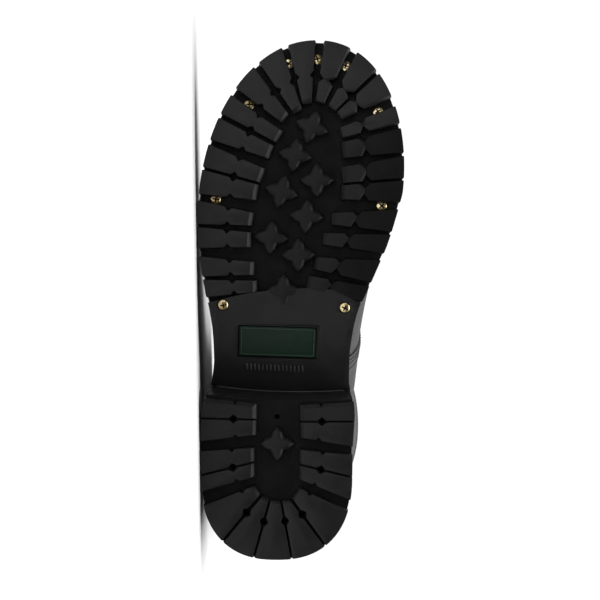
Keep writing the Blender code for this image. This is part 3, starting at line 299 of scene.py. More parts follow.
# %% Finishes: edges and layers of the sole
def make_layered(name, dark, light, period_mm, rough):
    """Trimmed and inked edge: fine lines along the sole from the trimming wheel."""
    finish = Finish(name, specular=0.45)
    cloud = finish.noise(9.0)
    finish.colour(cloud, (0.35, dark), (0.65, light))
    finish.rough(cloud, (0.3, rough[0]), (0.7, rough[1]))
    lines = finish.node("ShaderNodeTexWave", {
        "Vector": finish.coords, "Scale": 1 / (period_mm * MM) / 3, "Distortion": 1.2,
        "Detail": 2.0, "Detail Scale": 0.6}, bands_direction="Y")
    return finish.bumps((cloud, 0.12), (lines.outputs["Fac"], 0.06))


EDGE_INK = make_layered("inked_edge", (0.012, 0.010, 0.009), (0.020, 0.017, 0.016), 0.8,
                        (0.28, 0.42))
HEEL_LAYERS = make_layered("heel_layers", (0.011, 0.010, 0.010), (0.018, 0.016, 0.016), 1.1,
                           (0.34, 0.50))


# %% Finishes: leathers
def make_leather(name, dark, light, grain_mm, rough, grain=0.05, coat=0.0):
    """Leather: cells of grain, finer pores, and a slow change of colour and polish."""
    finish = Finish(name, coat=coat, specular=0.4)
    cloud, polish = finish.noise(22.0, 4.0), finish.noise(12.0, 5.0)
    finish.colour(cloud, (0.35, dark), (0.65, light))
    finish.rough(polish, (0.3, rough[0]), (0.7, rough[1]))
    stray = finish.node("ShaderNodeTexNoise", {"Vector": finish.coords, "Scale": 500.0})
    stray = finish.node("ShaderNodeVectorMath", {0: stray.outputs["Color"], "Scale": 0.6 * MM},
                        operation="SCALE")
    bent = finish.node("ShaderNodeVectorMath", {0: finish.coords, 1: stray.outputs["Vector"]},
                       operation="ADD")
    cells = finish.node("ShaderNodeTexVoronoi", {
        "Vector": bent.outputs["Vector"], "Scale": 1 / (grain_mm * MM)}, feature="SMOOTH_F1")
    return finish.bumps((cloud, 0.5), (cells.outputs["Distance"], grain),
                        (finish.noise(0.25, 2.0), 0.025))


BLACK_LEATHER = make_leather("black_leather", (0.0075, 0.007, 0.007), (0.013, 0.0115, 0.011), 0.9,
                             (0.26, 0.42), 0.09, 0.12)
LINING = make_leather("lining_leather", (0.030, 0.024, 0.020), (0.046, 0.038, 0.031), 0.6,
                      (0.62, 0.78))
INSOLE_LEATHER = make_leather("insole_leather", (0.36, 0.24, 0.14), (0.47, 0.33, 0.20), 0.7,
                              (0.60, 0.75))


# %% Finishes: metal, enamel, thread and lace
def make_brass(name, dark, light, tarnish, rough):
    """Brass with tarnish in patches and fine scratches."""
    finish = Finish(name, metallic=1.0)
    patches = finish.noise(9.0, 4.0)
    finish.colour(patches, (0.30, tarnish), (0.45, dark), (0.65, light))
    finish.rough(patches, (0.3, rough[1]), (0.6, rough[0]))
    return finish.bumps((finish.noise(0.4, 2.0), 0.03))


def make_enamel(name, dark, light):
    """Green enamel of the plate, a little worn."""
    finish = Finish(name, specular=0.2)
    cloud = finish.noise(5.0, 4.0)
    finish.colour(cloud, (0.35, dark), (0.65, light))
    finish.rough(cloud, (0.3, 0.5), (0.7, 0.65))
    return finish.bumps((finish.noise(0.5, 2.0), 0.04))


def make_thread(name, dark, light):
    """Waxed thread of the stitches."""
    finish = Finish(name)
    fibre = finish.noise(0.5, 2.0)
    finish.colour(fibre, (0.35, dark), (0.65, light))
    finish.rough(fibre, (0.3, 0.35), (0.7, 0.5))
    return finish.bumps((fibre, 0.06))


def make_lace_finish(name, dark, light, twist_mm, turns, rough):
    """Braid: strands that run slantwise both ways around the lace, from its own UV map."""
    finish = Finish(name, specular=0.3, sheen=0.3)

    def work_out(operation, *values):
        return finish.node("ShaderNodeMath", dict(enumerate(values)),
                           operation=operation).outputs["Value"]

    uv = finish.node("ShaderNodeUVMap", uv_map="UVMap").outputs["UV"]
    parts = finish.node("ShaderNodeSeparateXYZ", {"Vector": uv}).outputs
    along = work_out("MULTIPLY", parts["X"], 2 * math.pi / (twist_mm * MM))
    around = work_out("MULTIPLY", parts["Y"], 2 * math.pi * turns)
    waves = [work_out("SINE", work_out(way, along, around)) for way in ("ADD", "SUBTRACT")]
    weave = work_out("MULTIPLY", *waves)
    height = finish.node("ShaderNodeMapRange", {"Value": weave, "From Min": -1.0}).outputs["Result"]
    # colour follows the weave: darker in the hollows between strands as painted shade, lighter on
    # their tops as painted highlight
    finish.colour(height, (0.2, dark), (0.8, light))
    finish.rough(height, (0.0, rough[1]), (1.0, rough[0]))
    return finish.bumps((height, 0.22))


SCREW_BRASS = make_brass("screw_brass", (0.62, 0.50, 0.25), (0.86, 0.74, 0.46), (0.30, 0.19, 0.09),
                         (0.20, 0.42))
EYELET_BRASS = make_brass("eyelet_brass", (0.42, 0.30, 0.13), (0.62, 0.47, 0.22),
                          (0.16, 0.10, 0.05), (0.24, 0.40))
# nail steel is near black as painted shade in the nail pits and the screws' crosses
SHADED_STEEL = make_brass("shaded_steel", (0.009, 0.008, 0.008), (0.016, 0.014, 0.013),
                        (0.005, 0.005, 0.005), (0.35, 0.55))
GREEN_ENAMEL = make_enamel("green_plate", (0.0030, 0.0120, 0.0068), (0.0042, 0.0165, 0.0093))
# lighter green for the raised line: a painted highlight
HIGHLIGHT_GREEN = make_enamel("highlight_green", (0.020, 0.042, 0.030), (0.032, 0.060, 0.045))
THREAD = make_thread("thread", (0.016, 0.015, 0.015), (0.040, 0.038, 0.037))
LACE_BRAID = make_lace_finish("lace_braid", (0.006, 0.006, 0.006), (0.028, 0.027, 0.027), 2.4, 4,
                              (0.45, 0.70))
print("finishes:", len(bpy.data.materials))

# %% [markdown]
# ## Lines and heights of the sole
# The underside rises from the ball to a high heel seat, and turns up at the toe. Its outline is
# a rounded toe, a narrow waist and a rounded heel. Short tables hold the measured points, and a
# smooth curve that never overshoots them gives every place between.

# %% Smooth curves through short tables
LENGTH, BALL_HALF, HEEL_HALF = 304.0, 59.85, 44.5
SHAFT_TOP = 275.0
LUG_DEPTH, SHANK_DROP, SLAB, MIDSOLE, WELT, GAP = 6.0, 0.6, 10.5, 4.5, 3.5, 0.3
HEEL_LIFT = 16.0
RISE = np.array((
    (0, 36.0), (50, 34.8), (80, 33.0), (95, 30.0), (105, 25.6), (115, 20.0), (125, 14.0),
    (135, 8.4), (145, 3.6), (155, 0.8), (165, 0.0), (212, 0.0), (230, 0.9), (255, 3.8),
    (280, 8.2), (304, 14.0)))
EDGE = np.array((
    (50, 45.4, 43.6), (65, 45.7, 43.9), (85, 45.1, 45.0), (95, 43.2, 44.2), (104, 40.0, 42.4),
    (119, 38.3, 42.6), (134, 38.9, 44.4), (147, 40.7, 47.6), (157, 42.7, 52.2), (171, 45.1, 58.4),
    (185, 46.9, 64.3), (204, 47.8, 70.2), (215, 46.5, 73.2)))
HEEL_X, HEEL_ROUND, HEEL_SWING = 50.0, 2.4, -0.9
BALL_X, TOE_ROUND, BALL_SWING, TOE_SWING = 215.0, 2.1, 13.35, 0.105


def curve_value(xs, ys, at):
    """Smooth curve through (xs, ys) without overshoot, at one place or many."""
    xs, ys = np.asarray(xs, float), np.asarray(ys, float)
    steps = np.diff(ys) / np.diff(xs)
    before, after = steps[:-1], steps[1:]
    same = before * after > 0
    middle = np.where(same, 2 * before * after / np.where(same, before + after, 1.0), 0.0)
    slopes = np.concatenate((steps[:1], middle, steps[-1:]))
    at = np.clip(at, xs[0], xs[-1])
    i = np.clip(np.searchsorted(xs, at, side="right") - 1, 0, len(xs) - 2)
    span = xs[i + 1] - xs[i]
    t = (at - xs[i]) / span
    return ((2 * t**3 - 3 * t**2 + 1) * ys[i] + (t**3 - 2 * t**2 + t) * slopes[i] * span
            + (3 * t**2 - 2 * t**3) * ys[i + 1] + (t**3 - t**2) * slopes[i + 1] * span)


def rise(x):
    """Height of the tips of the lugs above the floor."""
    return curve_value(RISE[:, 0], RISE[:, 1], x)


def level(height):
    """A flat height, the same at every x."""
    return lambda x: np.full(np.shape(x), float(height))


def above(height):
    """A height that follows the sole's underside."""
    return lambda x: rise(x) + height


def seat(x):
    """Height of the midsole's top."""
    return rise(x) + SLAB + GAP + MIDSOLE + GAP


def edge(x, side, inset=0.0):
    """y of the sole's inner (side 1) or outer (side -1) edge at x, moved in by inset."""
    x = np.asarray(x, float)
    toe = np.clip((x - BALL_X) / (LENGTH - inset - BALL_X), 0, 1)
    toe = (BALL_HALF - inset) * np.maximum(1 - toe**TOE_ROUND, 0) ** (1 / TOE_ROUND)
    toe = BALL_SWING + TOE_SWING * (x - BALL_X) + side * toe
    heel = np.clip((HEEL_X - x) / (HEEL_X - inset), 0, 1)
    heel = (HEEL_HALF - inset) * np.maximum(1 - heel**HEEL_ROUND, 0) ** (1 / HEEL_ROUND)
    waist = side * (curve_value(EDGE[:, 0], EDGE[:, 1 if side < 0 else 2], x) - inset)
    return np.where(x >= BALL_X, toe, np.where(x <= HEEL_X, HEEL_SWING + side * heel, waist))


def reached(line):
    """Distance along a line from its start to each of its points."""
    return np.concatenate(([0], np.cumsum(np.linalg.norm(np.diff(line, axis=0), axis=1))))


def unit(vectors):
    """The same directions with a length of one."""
    return vectors / np.maximum(np.linalg.norm(vectors, axis=-1, keepdims=True), 1e-9)


def resample(points, count, closed=False):
    """Points evenly spaced along a line."""
    points = np.asarray(points, float)
    if closed:
        points = np.vstack((points, points[:1]))
    along = reached(points)
    at = np.linspace(0, along[-1], count, endpoint=not closed)
    return np.stack([np.interp(at, along, values) for values in points.T], 1)


def round_ends(share, inset):
    """x along the round toe and the round heel; a share of 1 is their very end."""
    return (BALL_X + (LENGTH - inset - BALL_X) * share ** (2 / TOE_ROUND),
            HEEL_X - (HEEL_X - inset) * share ** (2 / HEEL_ROUND))


def edge_side(side, inset=0.0):
    """Line along one side of the sole, from its toe to its heel point."""
    toe, heel = round_ends(np.maximum(np.cos(np.linspace(0, math.pi / 2, 70)), 0), inset)
    xs = np.concatenate((toe[:-1], np.linspace(BALL_X, HEEL_X, 90)[:-1], heel[::-1]))
    return np.stack([xs, edge(xs, side, inset)], 1)


EDGE_LINES = {(side, end): resample(edge_side(side)[::turn], 1800)
              for side in SIDES for end, turn in (("toe", 1), ("heel", -1))}


def edge_point(distance, side, end="toe"):
    """Point on the edge, a distance along it from the toe or heel point."""
    line = EDGE_LINES[side, end]
    along = np.arange(len(line)) * np.linalg.norm(line[1] - line[0])
    return np.array([np.interp(distance, along, values) for values in line.T])


print("edge length, inner side:", round(reached(EDGE_LINES[1, "toe"])[-1], 1), "mm")

# %% [markdown]
# ## Plates of the sole
# Outsole, midsole and heel layers are plates that follow the sole's outline between two heights.
# They could be filled curves with a thickness, but their heights change along the sole. So each is
# a grid of points across the sole and a second one above it, closed around the rim, with a small
# bevel along its edges: a sharp edge would catch no light.

# %% Plates
def stations(start, end, inset=0.0, round_steps=26, straight=3.0):
    """Values of x along the sole, closer together where its ends are round."""
    toe, heel = round_ends(np.cos(np.pi / 2 * np.arange(round_steps) / round_steps), inset)
    middle = np.linspace(HEEL_X, BALL_X, round((BALL_X - HEEL_X) / straight) + 1)
    xs = np.sort(np.concatenate((heel, toe, middle)))
    inside = xs[(xs > start + 0.3) & (xs < end - 0.3)]
    return np.concatenate(([max(start, inset)], inside, [min(end, LENGTH - inset)]))


def rungs(xs, inset=0.0, columns=7):
    """Rows of points across the sole from its outer to its inner edge."""
    share = np.linspace(0, 1, columns)[None, :]
    outer, inner = edge(xs, -1, inset)[:, None], edge(xs, 1, inset)[:, None]
    y = outer + (inner - outer) * share
    return np.stack([np.broadcast_to(np.asarray(xs)[:, None], y.shape), y], 2)


def shell(first, second):
    """Closed shape between two grids of points of one size, joined around their rims."""
    rows, columns = first.shape[:2]
    top = rows * columns
    faces = []
    for i in range(rows - 1):
        for a in range(i * columns, (i + 1) * columns - 1):
            b, c, d = a + 1, a + columns + 1, a + columns
            faces += [(a, b, c, d), (a + top, d + top, c + top, b + top)]
    rim = list(range(columns - 1)) + [i * columns + columns - 1 for i in range(rows - 1)]
    rim += list(range(top - 1, top - columns, -1)) + list(range(top - columns, 0, -columns))
    faces += [(b + top, b, a, a + top) for a, b in zip(rim, rim[1:] + rim[:1])]
    return np.concatenate((first.reshape(-1, 3), second.reshape(-1, 3))), faces


def band(first, second, count):
    """Faces between two rings of count points, which start at two indices."""
    return [(first + k, first + (k + 1) % count, second + (k + 1) % count, second + k)
            for k in range(count)]


def plate(grid, low, high, top_grid=None):
    """Closed plate over a grid of (x, y), between heights low(x) and high(x)."""
    layers = []
    for flat, height in ((grid, low), (grid if top_grid is None else top_grid, high)):
        z = np.broadcast_to(height(flat[..., 0]), flat.shape[:2])
        layers.append(np.concatenate((flat, z[..., None]), 2))
    return shell(*layers)


def cleaned(points, faces, merge=0.02):
    """Merge doubles and make the faces of a closed shape point outwards."""
    bm = bmesh.new()
    verts = [bm.verts.new(point) for point in points]
    for face in faces:
        corners = list(dict.fromkeys(verts[k] for k in face))
        if len(corners) > 2:
            bm.faces.new(corners)
    bmesh.ops.remove_doubles(bm, verts=bm.verts, dist=merge)
    bmesh.ops.dissolve_degenerate(bm, edges=bm.edges, dist=merge / 4)
    bmesh.ops.recalc_face_normals(bm, faces=bm.faces)
    return bm


def bevel(bm, edges, width, segments=2):
    bmesh.ops.bevel(bm, geom=edges, offset=width, offset_type="OFFSET", segments=segments,
                    profile=0.5, affect="EDGES", clamp_overlap=True)


def taken(bm):
    """Points and faces of a bmesh, which is freed."""
    bm.verts.index_update()
    points = np.array([tuple(vert.co) for vert in bm.verts])
    faces = [[vert.index for vert in face.verts] for face in bm.faces]
    bm.free()
    return points, faces


def softened(shape, width, angle=40, segments=2, merge=0.02):
    """Closed shape with every edge sharper than an angle bevelled."""
    bm = cleaned(*shape, merge)
    bevel(bm, [line for line in bm.edges
               if line.is_manifold and line.calc_face_angle(0) > math.radians(angle)],
          width, segments)
    return taken(bm)


def soft_plate(start, end, inset, low, high, width=0.4):
    """Plate of the sole with soft edges, from one x to another."""
    return softened(plate(rungs(stations(start, end, inset), inset), low, high), width)


def joined(*shapes):
    """Several shapes of (points, faces) as one."""
    points, faces, count = [], [], 0
    for own_points, own_faces in shapes:
        points.append(own_points)
        faces += [[index + count for index in face] for face in own_faces]
        count += len(own_points)
    return np.concatenate(points), faces


# %% [markdown]
# ## The heel's front face and the shank
# The heel's front is hollow in plan and leans forward as it goes up. Behind the forepart's lugs
# the sole runs smooth and thick over the arch: this shank carries a small sunk plate and two of
# the screws, so their beds are cut out of it with Booleans.

# %% The heel's front face
BREAST, BREAST_LEAN, BREAST_HOLLOW, BREAST_SKEW = 91.8, 0.185, 2.5, -1.5
SHANK_FOOT = 29.0
SHANK_SIDES, SHANK_FRONT = (-1, -0.35, 0.05, 0.45, 1), (150.8, 156.6, 158.4, 159.4, 150.3)


def part_way(xs, side, inset):
    """y part of the way from the middle line to the edge: -1 is the outer edge, 1 the inner."""
    return abs(side) * edge(xs, 1 if side > 0 else -1, inset)


def breast(y, z):
    """x of the heel's front face."""
    across = y / HEEL_HALF
    return BREAST + BREAST_LEAN * z + BREAST_HOLLOW * across**2 + BREAST_SKEW * across


def shank_grid(height, rows=34, columns=21):
    """Grid of the shank, from the heel's front face at a height to the forepart's lugs."""
    sides = np.linspace(-1, 1, columns)
    front = curve_value(SHANK_SIDES, SHANK_FRONT, sides)
    grid = np.zeros((rows, columns, 2))
    for j, (side, front_x) in enumerate(zip(sides, front)):
        xs = np.linspace(breast(side * HEEL_HALF, height) + 2 * GAP, front_x, rows)
        grid[:, j, 0] = xs
        grid[:, j, 1] = part_way(xs, side, GAP)
    return grid


# %% Screws, plate and their places
SCREWS = ((266.5, -17.0), (290.2, 6.3), (293.0, 23.2), (289.0, 40.0), (262.4, 58.9),
          (211.6, -36.6), (207.6, 60.9), (149.6, -32.2), (147.9, 39.2))
SCREW_HEAD, SHANK_SCREWS = 6.3, 2
PLATE_X, PLATE_Y, PLATE_TURN = 127.3, -0.3, 1.9
PLATE_LENGTH, PLATE_WIDTH, FRAME_RIM, BED_ROOM = 21.1, 46.0, 0.8, 1.3


def slope_angle(x):
    return math.atan2(float(rise(x + 1) - rise(x - 1)), 2)


def on_underside(x, y, depth):
    """Point below the sole's underside by depth, and the direction out of it."""
    angle = slope_angle(x)
    return Vector((x, y, float(rise(x)) + depth)), Vector((math.sin(angle), 0, -math.cos(angle)))


def screw_depth(number):
    """The last two screws sit in the shank, the others between the lugs."""
    return SHANK_DROP + 1.0 if number >= len(SCREWS) - SHANK_SCREWS else LUG_DEPTH


def plate_matrix():
    """Frame of the plate: its length along local x, its face towards local -z."""
    turn = Euler((0, -slope_angle(PLATE_X), math.radians(PLATE_TURN))).to_matrix().to_4x4()
    return Matrix.Translation((PLATE_X, PLATE_Y, float(rise(PLATE_X)) + SHANK_DROP)) @ turn


def rounded_rectangle(length, width, radius, steps=6):
    """Outline of a rectangle with round corners, as (x, y) points."""
    points = []
    for k, (cx, cy) in enumerate(((1, 1), (-1, 1), (-1, -1), (1, -1))):
        for step in range(steps + 1):
            angle = math.pi / 2 * (k + step / steps)
            points.append((cx * (length / 2 - radius) + radius * math.cos(angle),
                           cy * (width / 2 - radius) + radius * math.sin(angle)))
    return np.array(points)


def raised(*outlines):
    """Points of some (outline, height) in one array."""
    return np.concatenate([np.column_stack((line, np.full(len(line), z))) for line, z in outlines])


def prism(outline, low, high):
    """Straight solid over an outline between two heights."""
    count = len(outline)
    ends = [list(range(count))[::-1], list(range(count, 2 * count))]
    return raised((outline, low), (outline, high)), ends + band(0, count, count)


def moved(shape, matrix):
    points, faces = shape
    matrix = np.array(matrix)
    return points @ matrix[:3, :3].T + matrix[:3, 3], faces


def modified_mesh(thing):
    """Mesh of an object with its modifiers applied; the object is removed."""
    bpy.context.view_layer.update()
    made = bpy.data.meshes.new_from_object(
        thing.evaluated_get(bpy.context.evaluated_depsgraph_get()))
    bpy.data.objects.remove(thing, do_unlink=True)
    return made


def cut_away(shape, cutter):
    """Shape minus a cutter, by an exact Boolean."""
    objects = []
    for name, (points, faces) in (("cut_shape", shape), ("cutter", cutter)):
        mesh = bpy.data.meshes.new(name)
        cleaned(points, faces).to_mesh(mesh)
        objects.append(new_object(name, mesh))
    body, tool = objects
    modifier = body.modifiers.new("cut", "BOOLEAN")
    modifier.object, modifier.operation, modifier.solver = tool, "DIFFERENCE", "EXACT"
    made = modified_mesh(body)
    bpy.data.objects.remove(tool, do_unlink=True)
    bm = bmesh.new()
    bm.from_mesh(made)
    bpy.data.meshes.remove(made)
    return taken(bm)


def circle(radius, sides=24):
    angles = 2 * np.pi * np.arange(sides) / sides
    return np.stack([radius * np.cos(angles), radius * np.sin(angles)], 1)


def make_shank():
    """Thick shank with the beds of the plate and of two screws."""
    shape = plate(shank_grid(SHANK_FOOT), above(SHANK_DROP), above(LUG_DEPTH + 1),
                  shank_grid(SHANK_FOOT + LUG_DEPTH + 1))
    bed = rounded_rectangle(PLATE_LENGTH + BED_ROOM, PLATE_WIDTH + BED_ROOM, 0.5, 2)
    shape = cut_away(shape, moved(prism(bed, -3.0, 2.4), plate_matrix()))
    for number in range(len(SCREWS) - SHANK_SCREWS, len(SCREWS)):
        centre, out = on_underside(*SCREWS[number], screw_depth(number))
        screw_bed = prism(circle(SCREW_HEAD / 2 + 0.35, 20), -0.2, 6.0)
        upright = out.to_track_quat("Z", "Y").to_matrix().to_4x4()
        shape = cut_away(shape, moved(screw_bed, Matrix.Translation(centre) @ upright))
    return softened(shape, 0.35, 50)


print("shank, middle height:", round(float(rise(125)) + SHANK_DROP, 1), "mm")

# %% [markdown]
# ## Lugs of the forepart
# Each side lug is a wide outer block and a narrower inner one, with a V cut in each long side
# where they meet. Its inner end slopes, so it shows as a bright facet under a light from above.
# The grooves could be cut out of a thick sole, but a lug stands on its own in the mould. So it is
# drawn as an outline at its tip, and each side then leans outwards by its own draft.

# %% Drafted blocks
# Columns: from and to along the edge from the toe point, then tip x, tip y and tip width.
OUTER_LUGS = (
    (0.6, 17.1, 267.1, 17.0, 5.5), (21.2, 37.3, 262.4, 11.6, 5.5), (41.3, 57.4, 258.5, 4.0, 6.5),
    (62.4, 74.7, 247.7, 0.8, 7.5), (77.4, 91.1, 238.9, -4.1, 8.0), (93.9, 107.4, 225.2, -9.2, 8.5),
    (109.1, 123.5, 215.4, -12.3, 9.0), (127.4, 141.4, 199.7, -15.0, 7.5),
    (142.9, 155.4, 187.6, -15.9, 8.5), (160.3, 172.3, 170.8, -14.2, 7.5),
    (174.1, 184.6, 160.4, -12.5, 6.5))
INNER_LUGS = (
    (4.8, 20.8, 268.0, 24.9, 5.5), (25.6, 41.1, 264.4, 31.8, 5.0), (43.6, 58.8, 260.0, 36.2, 5.0),
    (64.8, 74.7, 250.1, 37.4, 6.0), (77.9, 92.0, 240.0, 38.0, 9.0), (94.1, 106.9, 225.5, 38.0, 9.0),
    (108.4, 121.3, 215.4, 37.5, 8.0), (125.8, 139.4, 199.9, 31.8, 6.5),
    (141.2, 152.8, 188.2, 26.7, 6.5), (157.5, 171.6, 173.9, 21.7, 7.0),
    (174.2, 184.0, 163.0, 17.6, 7.0))
NOTCH_SHARE = {-1: 0.55, 1: 0.62}
NOTCH_DEPTHS = {-1: (2.3, 2.3), 1: (2.7, 3.7)}
NOTCH_HALF = {-1: 2.1, 1: 2.7}
SIDE_DRAFT, END_DRAFT, ARC_DRAFT = 0.7, 1.1, -0.7
CHAMFER, NOTCH_CHAMFER, STAR_CHAMFER = 2.3, 1.3, 1.5
TOE_CHAMFER, LUG_ROUNDING, FINE_ROUNDING = 1.3, 0.6, 0.28
ARC_RISE = 2.6                    # a lug reaches higher up the sole's edge than inside
NECK_STEP = 0.6                   # lugs of the inner side are lower beyond their notches
TOE_LUGS = 4                      # the first few, round the toe, are level all along


def drafted(outline, drafts):
    """Outline with each side moved outwards by its own draft; side k starts at point k."""
    outline, drafts = np.asarray(outline, float), np.asarray(drafts, float)
    following = np.roll(outline, -1, 0)
    area = np.sum(outline[:, 0] * following[:, 1] - following[:, 0] * outline[:, 1])
    along = unit(following - outline)
    normals = np.stack([along[:, 1], -along[:, 0]], 1) * np.sign(area)
    leaned = []
    for k, point in enumerate(outline):
        sides, moves = normals[[k - 1, k]], drafts[[k - 1, k]]
        if abs(np.linalg.det(sides)) < 0.2:
            leaned.append(point + sides.mean(0) * moves.mean())
        else:
            leaned.append(point + np.linalg.solve(sides, moves))
    return np.array(leaned)


def block(outline, drafts, low, high, rounding=LUG_ROUNDING, tall=0.0, chamfers=()):
    """Block with its tip at height low(x), and its wider root at high(x) or higher where tall.

    Chamfers are (side number, width): that side's edge at the tip is cut off at a slant."""
    outline = np.asarray(outline, float)
    root = drafted(outline, drafts)
    count = len(outline)
    tips = np.column_stack((outline, low(outline[:, 0])))
    roots = np.column_stack((root, high(root[:, 0]) + np.asarray(tall)))
    bm = bmesh.new()
    top = [bm.verts.new(point) for point in tips]
    foot = [bm.verts.new(point) for point in roots]
    bm.faces.new(top)
    bm.faces.new(foot[::-1])
    for k in range(count):
        m = (k + 1) % count
        bm.faces.new((top[m], top[k], foot[k], foot[m]))
    bmesh.ops.recalc_face_normals(bm, faces=bm.faces)
    for width in sorted({width for _, width in chamfers}, reverse=True):
        cut = [side for side, wide in chamfers if wide == width]
        bevel(bm, [bm.edges.get((top[k], top[(k + 1) % count])) for k in cut], width, 1)
    feet = set(foot)
    bevel(bm, [line for line in bm.edges
               if not feet.issuperset(line.verts) and line.calc_face_angle(0) > math.radians(12)],
          rounding)
    return taken(bm)


def vee(start, end, share, towards, depth, half):
    """Three points of a V cut into the line from start to end."""
    along = unit(end - start)
    middle = start + (end - start) * share
    return [middle - along * half, middle + towards * depth, middle + along * half]


def side_lug(row, side):
    """Outline of one lug of the forepart, and the draft of each of its sides."""
    start, end, tip_x, tip_y, tip_width = row
    arc = [edge_point(place, side) for place in np.linspace(start, end, 7)]
    front, back = arc[0], arc[-1]
    tip = np.array((tip_x, tip_y))
    inwards = unit(tip - (front + back) / 2)
    across = np.array((-inwards[1], inwards[0]))
    if across @ (front - back) < 0:
        across = -across
    near, far = tip + across * tip_width / 2, tip - across * tip_width / 2
    share, half = NOTCH_SHARE[side], NOTCH_HALF[side]
    front_depth, back_depth = NOTCH_DEPTHS[side]
    outline = [front] + vee(front, near, share, -across, front_depth, half) + [near, far]
    outline += vee(far, back, 1 - share, across, back_depth, half) + [back] + arc[-2:0:-1]
    drafts = [SIDE_DRAFT] * 4 + [END_DRAFT] + [SIDE_DRAFT] * 4 + [ARC_DRAFT] * 6
    return outline, drafts


# %% Side lugs
LUG_TIP, LUG_ROOT = above(0.0), above(LUG_DEPTH + 1.0)


def outer_lugs():
    """Lugs of the outer side, each one block with two notches."""
    tall = [ARC_RISE] + [0.0] * 8 + [ARC_RISE] * 6
    return joined(*(block(*side_lug(row, -1), LUG_TIP, LUG_ROOT, tall=tall, chamfers=[(4, CHAMFER)])
                    for row in OUTER_LUGS))


def inner_lugs():
    """Lugs of the inner side in three sets: at the toe, up to the notches and beyond them."""
    toe, near, beyond = [], [], []
    tall = [ARC_RISE, 0.0, 0.0, 0.0, 0.0] + [ARC_RISE] * 6
    for number, row in enumerate(INNER_LUGS):
        outline, drafts = side_lug(row, 1)
        if number < TOE_LUGS:
            near_set, beyond_set, tip = toe, toe, LUG_TIP
            cuts = [(side, TOE_CHAMFER) for side in (2, 3, 4)]
            far_cuts = cuts[1:]
        else:
            near_set, beyond_set, tip = near, beyond, above(NECK_STEP)
            cuts = [(2, CHAMFER), (0, NOTCH_CHAMFER), (4, NOTCH_CHAMFER)]
            far_cuts = ()
        near_set.append(block(outline[2:8], drafts[2:7] + [0.0], LUG_TIP, LUG_ROOT,
                              FINE_ROUNDING, chamfers=cuts))
        beyond_set.append(block(outline[:3] + outline[7:], drafts[:2] + [0.0] + drafts[7:],
                                tip, LUG_ROOT, 0.4, tall, far_cuts))
    return joined(*toe), joined(*near), joined(*beyond)


# %% [markdown]
# ## Stars down the middle
# Eight star lugs sit in the middle of the forepart and one in the heel. A star has four petals
# with blunt points and sloping sides. One star could be set on points, but each tip follows the
# curve of the sole, so the same outline is drawn again at each place, turned a little.

# %% Stars
# Columns: x, y, turn in degrees.
STARS = ((253.6, 19.9, 20), (237.2, 10.0, 10), (222.6, 22.8, 0), (215.9, 2.0, 15),
         (201.4, 16.6, 5), (189.0, -4.1, 5), (178.9, 11.9, 0), (157.6, 3.2, 0))
STAR_REACH = (9.8, 7.3, 5.2, 7.3)
STAR_DRAFT = 0.7
HEEL_STAR = (68.0, -0.5)


def star(x, y, turn, low, high):
    """Star lug: each petal has a blunt point between two shoulders."""
    angles = np.radians(turn + 22.5 * np.arange(16))
    reach = np.tile(STAR_REACH, 4)
    outline = np.stack([x + reach * np.cos(angles), y + reach * np.sin(angles)], 1)
    return block(outline, [STAR_DRAFT] * 16, low, high, FINE_ROUNDING,
                 chamfers=[(k, STAR_CHAMFER) for k in range(16)])


# %% The whole outsole
outsole_base = soft_plate(0, LENGTH, 1.3, above(LUG_DEPTH), above(SLAB), 0.35)
toe_lugs, near_lugs, edge_lugs = inner_lugs()
stars = joined(*(star(*row, LUG_TIP, LUG_ROOT) for row in STARS))
for name, shape, rubber in (
        # outsole_base is the floor between the lugs, in darker rubber as painted shade
        ("outsole_base", outsole_base, GROOVE_SHADE_RUBBER),
        ("outer_side_lugs", outer_lugs(), TREAD_RUBBER),
        # the inner toe lugs are in lighter rubber as painted light; the other inner lugs and the
        # stars are in darker rubbers as painted shade
        ("inner_toe_lugs", toe_lugs, LIT_FRONT_RUBBER), ("inner_side_lugs", near_lugs, SHADED_INNER_RUBBER),
        ("inner_edge_lugs", edge_lugs, SHADED_EDGE_RUBBER), ("star_lugs", stars, SHADED_INNER_RUBBER),
        ("shank", make_shank(), TREAD_RUBBER)):
    boot_piece(name, *shape, rubber, ("outsole",), "sole_rubber")

# %% [markdown]
# ## The heel
# The heel ends in a rubber lift. Its side blocks are split by thin slits that widen to a diamond
# around each nail, and a fan of five blocks closes the back. A channel with one star runs down
# the middle. The slits could be cut with Booleans, but then their edges would stay sharp. So each
# half is a block of its own, rounded like the lugs, and a filler lies lower between the halves.

# %% Heel blocks
# Columns: from and to along the edge from the heel's back, then inner x and y, near and far.
HEEL_OUTER_LUGS = (
    (121.5, 96.4, 91.4, -13.0, 73.2, -13.0), (90.5, 67.0, 65.8, -14.1, 48.6, -14.1),
    (58.4, 34.9, 43.5, -14.0, 38.6, -10.6), (33.7, 14.0, 37.2, -9.3, 35.4, -5.4))
HEEL_INNER_LUGS = (
    (119.0, 93.2, 90.5, 13.4, 71.7, 13.4), (88.2, 61.9, 64.7, 12.8, 47.1, 12.8),
    (55.3, 31.0, 42.0, 12.8, 36.0, 8.4), (29.8, 9.6, 34.8, 7.2, 34.2, 2.5))
HEEL_BACK_LUG = (12.8, 8.4, 34.8, -4.2, 34.2, 1.3)
SIDE_NAILS = {-1: ((82.6, -26.1), (54.2, -26.5)), 1: ((81.1, 25.8), (52.9, 25.2))}
BACK_NAILS = {-1: ((27.8, -18.6), (22.3, -8.3)), 1: ((26.7, 14.4), (22.7, 3.7))}
CHANNEL_NAIL = (83.8, -0.5)
SLIT, DIAMOND, FILLER_DEPTH, FILLER_HALF, NAIL_HOLE = 1.1, 2.7, 4.2, 2.6, 1.5
HEEL_CHAMFER = 1.9
